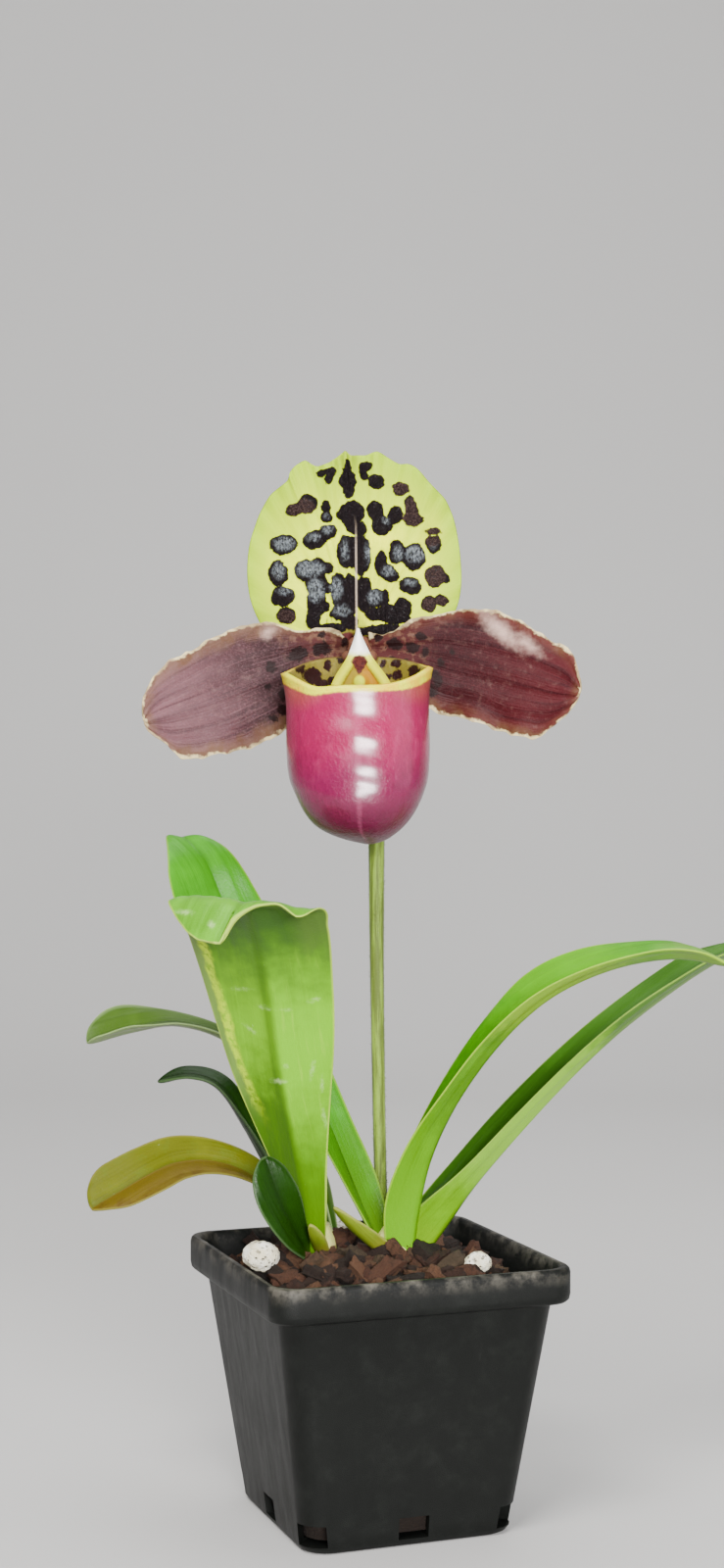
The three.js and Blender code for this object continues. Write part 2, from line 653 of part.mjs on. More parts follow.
// ------------------------------------------------------------------ flower

function ellipsoidSolid(centre, half, segments = 12) {
  const ball = new THREE.SphereGeometry(1, segments, Math.round(segments * 0.7));
  ball.scale(...half);
  ball.translate(...centre);
  return solidOf(ball);
}

// The receptacle, the column that reaches forward from it and the shield (staminode) on its
// end, with an anther on each side.
function columnSolid(grow = 0) {
  const { x, y, z, radius } = RECEPTACLE;
  const centre = ellipsoidSolid([x, y, z], [radius + grow, radius + grow, radius + grow]);
  const rod = stalkSolid(COLUMN_ROD, COLUMN_RADII, { sides: 8, steps: 5, grow });
  // The shield runs from its white tip down to its lower lobes.
  const shieldMiddle = (u, v) => {
    const side = 2 * v - 1;
    const half = along(SHIELD_HALVES, u) + grow;
    const dome = SHIELD.dome * (1 - side * side) * Math.sin(Math.PI * Math.min(u * 0.9 + 0.1, 1));
    return new THREE.Vector3(
      x + 0.25 + 0.15 * u + side * half,
      y - SHIELD.forward - dome - SHIELD.lean * u,
      SHIELD.top + (SHIELD.foot - SHIELD.top) * u,
    );
  };
  const shield = sheetSolid(shieldMiddle, () => SHIELD.thickness + 2 * grow, 9, 6);
  let column = centre.add(rod).add(shield);
  for (const side of [-1, 1]) {
    column = column.add(ellipsoidSolid(
      [x + side * ANTHER.out, y - ANTHER.forward, z - ANTHER.down],
      ANTHER.half.map((half) => half + grow),
      8,
    ));
  }
  return column;
}

function dorsalSepalSolid() {
  const { x, y, z } = RECEPTACLE;
  const spread = SEPAL_OUTLINE.map((p) => [p[0], 0, p[1]]);
  const height = Math.max(...SEPAL_OUTLINE.map((p) => p[1]));
  const middle = (u, v) => {
    const rim = alongPoints(spread, u);
    const share = SEPAL_CLAW + (1 - SEPAL_CLAW) * v;
    const across = rim.x * share;
    const up = rim.z * share;
    const lean = SEPAL_LEAN * Math.max(up / height, 0) ** 2;
    const cup = SEPAL_CUP * across * across;
    const ripple = SEPAL_RIPPLE * v ** 4 * Math.sin(2 * Math.PI * SEPAL_RIPPLES * u);
    return new THREE.Vector3(x - 0.2 + across, y - 0.4 - lean + cup + ripple, z + 0.4 + up);
  };
  const thickness = (u, v) => SEPAL_THICKNESS + (MARGIN_THICK - SEPAL_THICKNESS) * v;
  return sheetSolid(middle, thickness, 48, 4);
}

// One value of the pouch's level sections at a height.
function pouchSection(z, column) {
  const last = POUCH_SECTIONS.length - 1;
  let k = 0;
  while (k < last - 1 && z > POUCH_SECTIONS[k + 1][0]) {
    k += 1;
  }
  const low = POUCH_SECTIONS[k];
  const high = POUCH_SECTIONS[k + 1];
  const share = THREE.MathUtils.clamp((z - low[0]) / (high[0] - low[0]), 0, 1);
  return low[column] + (high[column] - low[column]) * share;
}

// The height of the rim at an angle: 0 is the right ear, 90 degrees the back, 270 the front.
function pouchRim(angle) {
  const share = Math.abs(Math.cos(angle)) ** POUCH_RIM.sweep;
  const end = Math.sin(angle) > 0 ? POUCH_RIM.back : POUCH_RIM.front;
  const ear = Math.cos(angle) > 0 ? POUCH_RIM.right : POUCH_RIM.left;
  return end + (ear - end) * share;
}

// The inner skin stands one wall inside the outer one, and lifted off the toe by as much.
function pouchSolid() {
  const toe = POUCH_SECTIONS[0][0];
  const narrowest = 0.3;
  const ringAt = (share, wall) => Array.from({ length: POUCH_SIDES }, (_, i) => {
    const angle = (2 * Math.PI * i) / POUCH_SIDES;
    const level = toe + (pouchRim(angle) - toe) * share;
    const flare = wall === 0 ? POUCH_LIP_FLARE * share ** 12 : 0;
    const rx = Math.max(pouchSection(level, 3) - wall, narrowest) + flare;
    const ry = Math.max(pouchSection(level, 4) - wall, narrowest) + flare;
    const lift = 1.15 * wall * (1 - share) ** 6;
    return new THREE.Vector3(
      pouchSection(level, 1) + rx * Math.cos(angle),
      pouchSection(level, 2) + ry * Math.sin(angle),
      level + lift,
    );
  });
  const outer = POUCH_SHARES.map((share) => ringAt(share, 0));
  const inner = POUCH_SHARES.slice(1).reverse().map((share) => ringAt(share, POUCH_WALL));
  return loftSolid([...outer, ...inner]);
}

// ------------------------------------------------------------------ assembly

const orchid = new THREE.Group();

const rhizomeRoom = rhizomeSolid(CLEAR);
const scapeRoom = stalkSolid(SCAPE_LINE, SCAPE_RADII, { grow: CLEAR });
const ovaryRoom = stalkSolid(OVARY_LINE, OVARY_RADII, { grow: CLEAR });
const columnRoom = columnSolid(CLEAR);

// Each blade is cut clear of what it grows from and of the blades listed before it.
const leafOrder = [
  'leaf_arch', 'leaf_long', 'leaf_back', 'sheath_main',
  'leaf_fold', 'leaf_young', 'leaf_yellow', 'leaf_side_upper', 'leaf_side_dark', 'sheath_left',
];
const flowerOrder = ['synsepal', 'petal_left', 'petal_right', 'bract'];

function addBlades(names, startRoom) {
  let room = startRoom;
  for (const name of names) {
    const blade = BLADES[name];
    orchid.add(meshOf(name, bladeSolid(blade).subtract(room), blade.colour, 0.4));
    room = room.add(bladeSolid(blade, CLEAR));
  }
  return room;
}

const leafRoom = addBlades(leafOrder, rhizomeRoom.add(scapeRoom));
const flowerRoom = addBlades(flowerOrder, columnRoom.add(ovaryRoom).add(scapeRoom));

let mix = mixSolid().subtract(leafRoom);
for (const [name, stone] of Object.entries(STONES)) {
  mix = mix.subtract(stoneSolid(stone, CLEAR));
  orchid.add(meshOf(name, stoneSolid(stone).subtract(leafRoom), COLOURS.stone, 0.9));
}
orchid.add(meshOf('pot', potSolid(), COLOURS.pot, 0.5));
orchid.add(meshOf('bark_mix', mix, COLOURS.bark_mix, 0.9));
orchid.add(meshOf('rhizome', rhizomeSolid().subtract(scapeRoom), COLOURS.rhizome));
orchid.add(meshOf('scape', stalkSolid(SCAPE_LINE, SCAPE_RADII), COLOURS.scape));
orchid.add(meshOf('ovary', stalkSolid(OVARY_LINE, OVARY_RADII).subtract(columnRoom).subtract(scapeRoom),
  COLOURS.ovary));
orchid.add(meshOf('column', columnSolid(), COLOURS.column, 0.4));
orchid.add(meshOf('dorsal_sepal', dorsalSepalSolid().subtract(flowerRoom), COLOURS.dorsal_sepal, 0.4));
orchid.add(meshOf('pouch', pouchSolid().subtract(flowerRoom), COLOURS.pouch, 0.3));

export default orchid;
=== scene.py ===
"""Slipper orchid in a small nursery pot: the looks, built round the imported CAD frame.

Shapes are given in millimetres in the part's own frame (+Z up, the flower faces -Y) and are
turned into metres when a mesh is made. Blades use the same stations as the CAD blades.
"""
import itertools
import math
import random

import bpy
import numpy as np
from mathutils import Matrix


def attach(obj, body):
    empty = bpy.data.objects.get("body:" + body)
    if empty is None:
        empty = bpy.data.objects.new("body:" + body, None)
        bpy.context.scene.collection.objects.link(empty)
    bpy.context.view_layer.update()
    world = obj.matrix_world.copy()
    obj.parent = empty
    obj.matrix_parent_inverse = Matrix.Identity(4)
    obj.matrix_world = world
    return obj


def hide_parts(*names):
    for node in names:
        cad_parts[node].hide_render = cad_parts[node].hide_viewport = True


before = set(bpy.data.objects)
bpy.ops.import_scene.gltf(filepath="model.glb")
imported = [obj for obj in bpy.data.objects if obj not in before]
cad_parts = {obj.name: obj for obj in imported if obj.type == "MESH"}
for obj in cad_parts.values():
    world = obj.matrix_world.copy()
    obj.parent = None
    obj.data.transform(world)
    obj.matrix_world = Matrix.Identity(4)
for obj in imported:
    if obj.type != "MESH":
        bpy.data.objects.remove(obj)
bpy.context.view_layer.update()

MM = 0.001
TURN = 2 * math.pi

# ------------------------------------------------------------------ camera and light

CAMERA_AT = (-2.0, -380.0, 119.0)  # millimetres
SHOWN_HEIGHT = 256.0  # millimetres of the plane y = 0 that the frame's 1600 rows show
SENSOR = 36.0


def make_camera():
    data = bpy.data.cameras.new("camera")
    data.sensor_width = SENSOR
    data.lens = SENSOR * -CAMERA_AT[1] / SHOWN_HEIGHT
    data.clip_start = 0.01
    camera = bpy.data.objects.new("camera", data)
    camera.location = [value * MM for value in CAMERA_AT]
    camera.rotation_euler = (math.pi / 2, 0, 0)
    bpy.context.collection.objects.link(camera)
    bpy.context.scene.camera = camera


def make_light(name, azimuth, elevation, distance, size, power, colour=(1, 1, 1),
               aim=(0, -0.01, 0.12), shape="RECTANGLE"):
    """A soft box that faces aim. Azimuth is in degrees from the camera's side towards +X."""
    data = bpy.data.lights.new(name, "AREA")
    data.shape = shape
    data.size, data.size_y = size
    data.energy = power
    data.color = colour
    turn, lift = math.radians(azimuth), math.radians(elevation)
    light = bpy.data.objects.new(name, data)
    light.location = (
        aim[0] + distance * math.cos(lift) * math.sin(turn),
        aim[1] - distance * math.cos(lift) * math.cos(turn),
        aim[2] + distance * math.sin(lift),
    )
    light.rotation_euler = (math.pi / 2 - lift, 0, turn)
    bpy.context.collection.objects.link(light)


# ------------------------------------------------------------------ shader graphs


class Value:
    """What a node of a graph gives, open to plain arithmetic with numbers and other values."""

    def __init__(self, graph, socket):
        self.graph, self.socket = graph, socket

    def __add__(self, other):
        return self.graph.math("ADD", self, other)

    def __sub__(self, other):
        return self.graph.math("SUBTRACT", self, other)

    def __rsub__(self, other):
        return self.graph.math("SUBTRACT", other, self)

    def __mul__(self, other):
        return self.graph.math("MULTIPLY", self, other)

    def __abs__(self):
        return self.graph.math("ABSOLUTE", self)

    __radd__, __rmul__ = __add__, __mul__

    def step(self, low, high):
        """0 below low, 1 above high, smooth between; low may be the larger one."""
        first, last = (1.0, 0.0) if low > high else (0.0, 1.0)
        return self.graph.node("MapRange", {
            "Value": self, "From Min": min(low, high), "From Max": max(low, high),
            "To Min": first, "To Max": last,
        }, interpolation_type="SMOOTHSTEP")


class Graph:
    """Adds nodes to one material. Values and plain numbers or colours can be mixed freely."""

    def __init__(self, name, **settings):
        self.material = bpy.data.materials.new(name)
        self.material.use_nodes = True
        self.tree = self.material.node_tree
        self.shader = self.tree.nodes["Principled BSDF"].inputs
        for key, value in settings.items():
            self.shader[key.replace("_", " ")].default_value = value
        # The point on the piece, in millimetres.
        self.place = self.stretch(self.node("TexCoord", {}, "Object"), (1000, 1000, 1000))
        self.colour = None

    def feed(self, socket, value):
        if isinstance(value, Value):
            self.tree.links.new(value.socket, socket)
        elif socket.type == "RGBA" and len(value) == 3:
            socket.default_value = (*value, 1)
        else:
            socket.default_value = value

    def node(self, kind, inputs, output=0, **settings):
        """Adds a node and gives one of its outputs."""
        node = self.tree.nodes.new("ShaderNode" + kind)
        for key, value in settings.items():
            setattr(node, key, value)
        for key, value in inputs.items():
            self.feed(node.inputs[key], value)
        return Value(self, node.outputs[output])

    def math(self, operation, a, b=0.0):
        return self.node("Math", {0: a, 1: b}, operation=operation)

    def split(self, vector):
        parts = self.node("SeparateXYZ", {0: vector}).socket.node.outputs
        return [Value(self, part) for part in parts]

    def fields(self, name):
        """The three values that make_piece stored at each point under this name."""
        return self.split(self.node("Attribute", {}, "Vector", attribute_name=name))

    def join(self, x, y, z=0.0):
        return self.node("CombineXYZ", {0: x, 1: y, 2: z})

    def stretch(self, vector, factors):
        return self.node("VectorMath", {0: vector, 1: factors}, operation="MULTIPLY")

    def noise(self, scale, detail=3.0, rough=0.5, at=None, pull=None, distortion=0.0):
        """Noise at a point of the piece; pull scales its place, so low factors draw it out."""
        if at is None:
            at = self.stretch(self.place, pull) if pull else self.place
        return self.node("TexNoise", {
            "Vector": at, "Scale": scale, "Detail": detail, "Roughness": rough,
            "Distortion": distortion,
        }, "Fac")

    def wobble(self, amount, scale, detail=3.0, rough=0.6):
        """Noise round zero."""
        return (self.noise(scale, detail, rough) - 0.5) * amount

    def mix(self, share, a, b):
        return self.node("Mix", {"Factor": share, 6: a, 7: b}, 2, data_type="RGBA")

    def ramp(self, value, stops):
        colour = self.node("ValToRGB", {0: value}, "Color")
        elements = colour.socket.node.color_ramp.elements
        while len(elements) < len(stops):
            elements.new(0.5)
        for element, (position, shade) in zip(elements, stops):
            element.position = position
            element.color = (*shade, 1)
        return colour

    def paint(self, colour, share):
        """Lays a colour over what is painted so far."""
        self.colour = self.mix(share, self.colour, colour)

    def finish(self, roughness, height=None, relief=0.0002, strength=1.0):
        """The material with its painted colour, and a bump from a height if one is given."""
        self.feed(self.shader["Base Color"], self.colour)
        self.feed(self.shader["Roughness"], roughness)
        if height is not None:
            bump = {"Strength": strength, "Distance": relief, "Height": height}
            self.feed(self.shader["Normal"], self.node("Bump", bump))
        return self.material


class BladeGraph(Graph):
    """A graph that knows the fields of a blade, as make_blade stores them."""

    def __init__(self, name, **settings):
        super().__init__(name, Subsurface_Scale=0.001, Specular_IOR_Level=0.08, **settings)
        self.t, self.side, face = self.fields("shape")
        self.length, self.width, self.edge = self.fields("size")
        # marks: the listed spots, which on the folded leaf are painted glints, then the petals'
        # painted sheen.
        self.field, self.gleam, _ = self.fields("marks")
        self.on_top = face.step(-0.2, 0.2)
        self.under = 1.0 - self.on_top


# ------------------------------------------------------------------ meshes


def make_piece(name, points, faces, material, fields=None):
    """A smooth mesh object from points in millimetres. Each of fields gives the shader three
    values at each point."""
    mesh = bpy.data.meshes.new(name)
    mesh.from_pydata((np.asarray(points) * MM).tolist(), [], faces)
    mesh.materials.append(material)
    for field, values in (fields or {}).items():
        attribute = mesh.attributes.new(field, "FLOAT_VECTOR", "POINT")
        values = np.stack(values, axis=-1).astype(np.float32)
        attribute.data.foreach_set("vector", values.ravel())
    mesh.polygons.foreach_set("use_smooth", [True] * len(mesh.polygons))
    mesh.update()
    piece = bpy.data.objects.new(name, mesh)
    bpy.context.collection.objects.link(piece)
    return piece


def stand_for(piece, node):
    """Puts a piece on the plant's one body, in place of its CAD node."""
    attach(piece, "root")
    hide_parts(node)


def along(table, t):
    """The value at share t of a table spread evenly from 0 to 1, on a smooth curve through it."""
    table = np.asarray(table, dtype=float)
    last = len(table) - 1
    padded = np.concatenate([[2 * table[0] - table[1]], table, [2 * table[-1] - table[-2]]])
    place = np.clip(t, 0, 1) * last
    i = np.minimum(np.floor(place).astype(int), last - 1)
    f = place - i
    if table.ndim == 2:
        f = f[..., None]
    p0, p1, p2, p3 = padded[i], padded[i + 1], padded[i + 2], padded[i + 3]
    square = (2 * p0 - 5 * p1 + 4 * p2 - p3) * f * f
    cube = (3 * p1 - p0 - 3 * p2 + p3) * f ** 3
    return p1 + 0.5 * ((p2 - p0) * f + square + cube)


def bell(value, width):
    """1 where the value is 0, falling off to both sides within about twice the width."""
    return np.exp(-(value / width) ** 2)


def rise(value, low, high):
    """0 at low, 1 at high, straight between; low may be the larger one."""
    return np.clip((value - low) / (high - low), 0, 1)


def unit(vectors):
    return vectors / np.maximum(np.linalg.norm(vectors, axis=-1, keepdims=True), 1e-9)


def pillow(middle, thickness, flip):
    """Points and faces of a thin closed sheet on both sides of a grid of middle points.

    The two sides share the points of the grid's border. flip tells which side is the upper one.
    Returns points, faces, the side of each point (1 upper, -1 under, 0 border) and its grid index.
    """
    rows, columns = middle.shape[:2]
    normal = unit(np.cross(np.gradient(middle, axis=0), np.gradient(middle, axis=1)))
    if flip:
        normal = -normal
    offset = normal * thickness[..., None] / 2
    inner = np.zeros((rows, columns), bool)
    inner[1:-1, 1:-1] = True
    upper = middle + offset * inner[..., None]
    under = (middle - offset)[inner]
    points = np.concatenate([upper.reshape(-1, 3), under])
    top = np.arange(rows * columns).reshape(rows, columns)
    low = top.copy()
    low[inner] = rows * columns + np.arange(inner.sum())

    def quads(index):
        corners = [index[:-1, :-1], index[1:, :-1], index[1:, 1:], index[:-1, 1:]]
        return np.stack([c.ravel() for c in corners], axis=-1)

    first, second = quads(top), quads(low)
    if flip:
        first = first[:, ::-1]
    else:
        second = second[:, ::-1]
    faces = np.concatenate([first, second]).tolist()
    side = np.concatenate([inner.ravel().astype(float), -np.ones(inner.sum())])
    source = np.concatenate([top.ravel(), top[inner]])
    return points, faces, side, source


def ring_tube(centres, radii, sides, reach=1.0):
    """Points and faces of a tube round a line of centres, closed by a point at each end. reach
    scales the radius at each side."""
    tangent = unit(np.gradient(centres, axis=0))
    across = unit(np.array([1.0, 0, 0]) - tangent * tangent[:, :1])
    up = np.cross(tangent, across)
    angle = np.linspace(0, TURN, sides, endpoint=False)[:, None]
    circle = across[:, None] * np.cos(angle) + up[:, None] * np.sin(angle)
    return closed_rings(centres[:, None] + circle * (radii[:, None] * reach)[..., None])


def closed_rings(rings):
    """Points and faces of a closed skin through rings of points."""
    levels, sides = rings.shape[:2]
    points = np.concatenate([rings.reshape(-1, 3), rings[:1].mean(1), rings[-1:].mean(1)])
    index = np.arange(levels * sides).reshape(levels, sides)
    after = np.roll(index, -1, axis=1)
    quads = np.stack([index[:-1], after[:-1], after[1:], index[1:]], axis=-1).reshape(-1, 4)
    faces = quads.tolist()
    start = levels * sides
    for i in range(sides):
        faces.append([start, int(after[0, i]), int(index[0, i])])
        faces.append([start + 1, int(index[-1, i]), int(after[-1, i])])
    return points, faces


def joined(parts):
    """One list of points and faces out of several."""
    points, faces, start = [], [], 0
    for part_points, part_faces in parts:
        points.append(part_points)
        faces += [[corner + start for corner in face] for face in part_faces]
        start += len(part_points)
    return np.concatenate(points), faces


def blotches(x, z, spots, softness=0.35):
    """A field that is above 0 inside the spots, each x, z, half width, half height and, where
    it isn't upright, its tilt in degrees."""
    total = np.full(np.shape(x), -1.0)
    for sx, sz, rx, rz, *tilt in spots:
        turn = math.radians(sum(tilt))
        dx = (x - sx) * math.cos(turn) + (z - sz) * math.sin(turn)
        dz = (z - sz) * math.cos(turn) - (x - sx) * math.sin(turn)
        inside = 1 - np.hypot(dx / rx, dz / rz)
        inside = inside * min(rx, rz)
        gap = np.maximum(softness - np.abs(total - inside), 0) / softness
        total = np.maximum(total, inside) + gap * gap * softness / 6
    return total


# ------------------------------------------------------------------ blades

# Each blade's middle line, where its upper face looks, its half widths on one side and the
# other, how far its halves fold up in degrees, and how much it curls and waves. The lists are
# spread evenly from foot to tip. Without wide_b, both halves are as wide as wide_a.
BLADES = {
    "leaf_fold": dict(
        line=[
            (-9.5, -3, 41), (-10.5, -6, 49.5), (-12.5, -10, 62), (-14.5, -15, 74.5),
            (-16, -21, 87.5), (-17.5, -29, 97), (-19.5, -38, 101.3), (-22.5, -47, 96.3),
        ],
        face=[(0.1, 0.9, 0.3), (0.15, 0.7, 0.7), (0.1, 0.1, 1)],
        wide_a=[1.8, 3.6, 6.6, 9.8, 12.4, 13.2, 11.8, 8],
        wide_b=[1.8, 2.4, 3.2, 4.2, 5.4, 6.7, 8, 9, 9.7, 10.3, 10.7, 10.8, 4.8, 0.7, 0.5],
        fold=[50, 30, 22, 16, 12, 10, 6, -6],
        curl=[0, 0, 0, 0, 0, 0, 0.08, 0.25],
        wave=0.7, waves=2.2,
    ),
    "leaf_back": dict(
        line=[
            (2, 0, 41), (-3, 2.5, 52), (-8, 6, 63.5), (-14, 9, 76.5), (-19.5, 12, 87.5),
            (-25, 14, 97.5), (-28.5, 15, 105.5), (-32.2, 18, 109.4), (-34, 23, 109.4),
        ],
        face=[(0.6, -0.8, 0.2), (0.45, -0.85, 0.3), (0.3, -0.8, 0.5), (0, -0.1, 1)],
        wide_a=[2.5, 4.4, 4.2, 4.6, 5.8, 6.2, 4.8, 2.8, 1.6],
        wide_b=[2.5, 4, 6, 7.4, 8.8, 9.8, 8.8, 4, 1.8],
        fold=[60, 45, 35, 28, 22, 18, 16, 14, 10],
    ),
    "leaf_side_upper": dict(
        line=[
            (-7, 7, 41), (-11, 12, 54), (-17.5, 16, 67.5), (-24.5, 19, 75), (-33.5, 20, 78),
            (-41.5, 19, 77), (-49, 17, 75),
        ],
        face=[(0.9, -0.2, 0.3), (0.5, -0.1, 0.8), (0, -0.35, 0.9)],
        wide_a=[2, 3.5, 3.6, 3.2, 3.2, 5.4, 5.4],
        wide_b=[2, 3.5, 3.6, 3.2, 3.2, 5.4, 4.6],
        fold=[60, 45, 28, 14, 16, 34, 40],
    ),
    "leaf_side_dark": dict(
        line=[
            (-8, 7, 42), (-15.5, 15, 50), (-21.5, 21, 59.5), (-26.5, 24, 66.5), (-32, 25, 68.5),
            (-37.5, 24, 67.5),
        ],
        face=[(0.6, 0.3, 0.4), (0.4, -0.2, 0.8), (0, -0.3, 0.9)],
        wide_a=[1.6, 2.4, 2.6, 2.7, 2.5, 1.7],
        fold=[60, 45, 30, 18, 14, 20],
    ),
    "leaf_yellow": dict(
        line=[
            (-10, 1, 42), (-15.5, 4.5, 50.2), (-21, 6, 54.4), (-27, 6, 56.4), (-32.5, 4.5, 56.4),
            (-37, 2, 54.8), (-41.5, 0, 52.4), (-46, -2, 50),
        ],
        face=[(0.5, -0.2, 0.8), (0, -0.65, 0.75), (-0.1, -0.75, 0.65)],
        wide_a=[1.8, 2.8, 3.6, 4.1, 4.8, 5.2, 5.6, 5.6],
        wide_b=[1.8, 2.8, 3.6, 4.6, 5.4, 5.6, 4.6, 2.4],
        fold=[50, 36, 26, 22, 20, 20, 20, 20],
    ),
    "leaf_young": dict(
        line=[(-10.5, -4, 42.5), (-13, -9, 48), (-15.5, -11.5, 54), (-17.5, -12, 60)],
        face=[(0.5, -0.7, 0.5), (0.35, -0.9, 0.2)],
        wide_a=[1.6, 3.1, 3.6, 2.2],
        wide_b=[1.6, 3.7, 4.2, 2.4],
        fold=[30, 16, 12, 10],
    ),
    "leaf_arch": dict(
        line=[
            (5.5, -2, 41.5), (6.6, -3, 50), (8.7, -4, 59), (13, -5, 68.2), (19.3, -7, 77.3),
            (26, -9, 84.1), (32.8, -11, 88.4), (40.5, -13, 91.2), (48.5, -15, 92.2),
            (56, -16, 90.8),
        ],
        face=[(-1, 0.1, 0.1), (-0.9, 0, 0.4), (-0.6, -0.1, 0.7), (-0.2, -0.13, 1), (0.1, 0.1, 1)],
        wide_a=[4, 5.6, 5.6, 5.8, 6, 6, 5.6, 5.2, 4.6, 2.4],
        wide_b=[4, 5.2, 4.6, 5, 6, 7.8, 7.8, 6.4, 4.6, 2.4],
        fold=[80, 76, 56, 36, 30, 26, 22, 20, 22, 20],
    ),
    "leaf_long": dict(
        line=[
            (7, 1, 41), (11.5, 2, 47), (16.4, 3, 53.6), (23.8, 5, 61.8), (32.3, 7, 70.5),
            (40.5, 9, 77.8), (49, 12, 83.9), (56.5, 14, 88.6), (64, 16, 92),
        ],
        face=[(-0.8, 0.05, 0.6), (-0.7, -0.1, 0.7), (-0.6, -0.18, 0.8), (-0.5, -0.25, 0.9)],
        wide_a=[6, 6.4, 6, 6, 6, 6, 5.6, 5, 3],
        wide_b=[6, 6.4, 6.4, 6.2, 5.8, 5.6, 5.6, 5, 3],
        fold=[76, 64, 44, 38, 33, 30, 27, 26, 24],
    ),
    "sheath_main": dict(
        line=[(1.5, -4.5, 43), (-2.5, -7, 47), (-6.5, -8.5, 51.5)],
        face=[(0.5, 0.6, 0.5), (0.4, 0.6, 0.7)],
        wide_a=[2.6, 2.4, 0.6],
        fold=[40, 25, 10],
    ),
    "sheath_left": dict(
        line=[(-8.5, -5, 43.5), (-9.2, -8.5, 46.5), (-10.3, -10, 49)],
        face=[(0.1, 0.9, 0.4), (0.1, 0.9, 0.4)],
        wide_a=[1.5, 1.3, 0.5],
        fold=[30, 20, 10],
    ),
    "synsepal": dict(
        line=[
            (-2.4, -0.6, 139), (-2.3, 0.8, 133), (-2, 0.6, 126), (-1.6, -0.8, 119),
            (-1.3, -3, 113.5),
        ],
        face=[(0, -1, 0), (0, -1, 0.2)],
        wide_a=[2.5, 6.2, 7.6, 6.6, 3.4],
        fold=[10, 12, 14, 14, 12],
    ),
    "bract": dict(
        line=[(0.4, 6.9, 111.5), (0.3, 9.2, 117), (-0.2, 11, 123), (-0.6, 11.6, 128)],
        face=[(0, -1, 0.2), (0, -1, 0)],
        wide_a=[1.6, 3.6, 3.2, 1],
        fold=[55, 45, 40, 30],
    ),
    "petal_left": dict(
        line=[
            (-4, -2.6, 141), (-9, -4, 140), (-14.5, -5, 137.5), (-21, -6, 135), (-27, -7, 132.5),
            (-32.5, -8, 130.5), (-36.8, -9, 129),
        ],
        face=[(0, -1, 0), (0, -1, 0)],
        wide_a=[2, 4.4, 7.8, 9.3, 8.4, 6.8, 4.6],
        wide_b=[2, 4.8, 7.8, 9.6, 9.6, 7.6, 5],
        fold=[8, 4, 0, -4, -4, -4, -4],
        wave=0.9, waves=4.3,
    ),
    "petal_right": dict(
        line=[
            (-1, -2.6, 141), (4.5, -4, 140.5), (10.5, -5, 139.5), (17, -6, 138), (23, -7, 136.5),
            (28.5, -8, 134.8), (32.8, -9, 133.5),
        ],
        face=[(0, -1, 0), (0, -1, 0)],
        wide_a=[2, 4.2, 8.2, 8.7, 9.9, 8.3, 5],
        wide_b=[2, 4.2, 7.9, 8.8, 8, 6.4, 4.4],
        fold=[8, 4, 0, -4, -4, -4, -4],
        wave=0.9, waves=4.3,
    ),
}
TIP_ROUNDING = 0.84  # share of a blade's length from which its tip rounds off
CROWDING = 1.25  # above 1, the rows of a blade stand closer towards its tip
RIB_SOFTNESS = 0.5  # millimetres over which the fold along the rib rounds off
THINNEST = 0.02  # square of the share of its thickness that a sheet keeps at its border


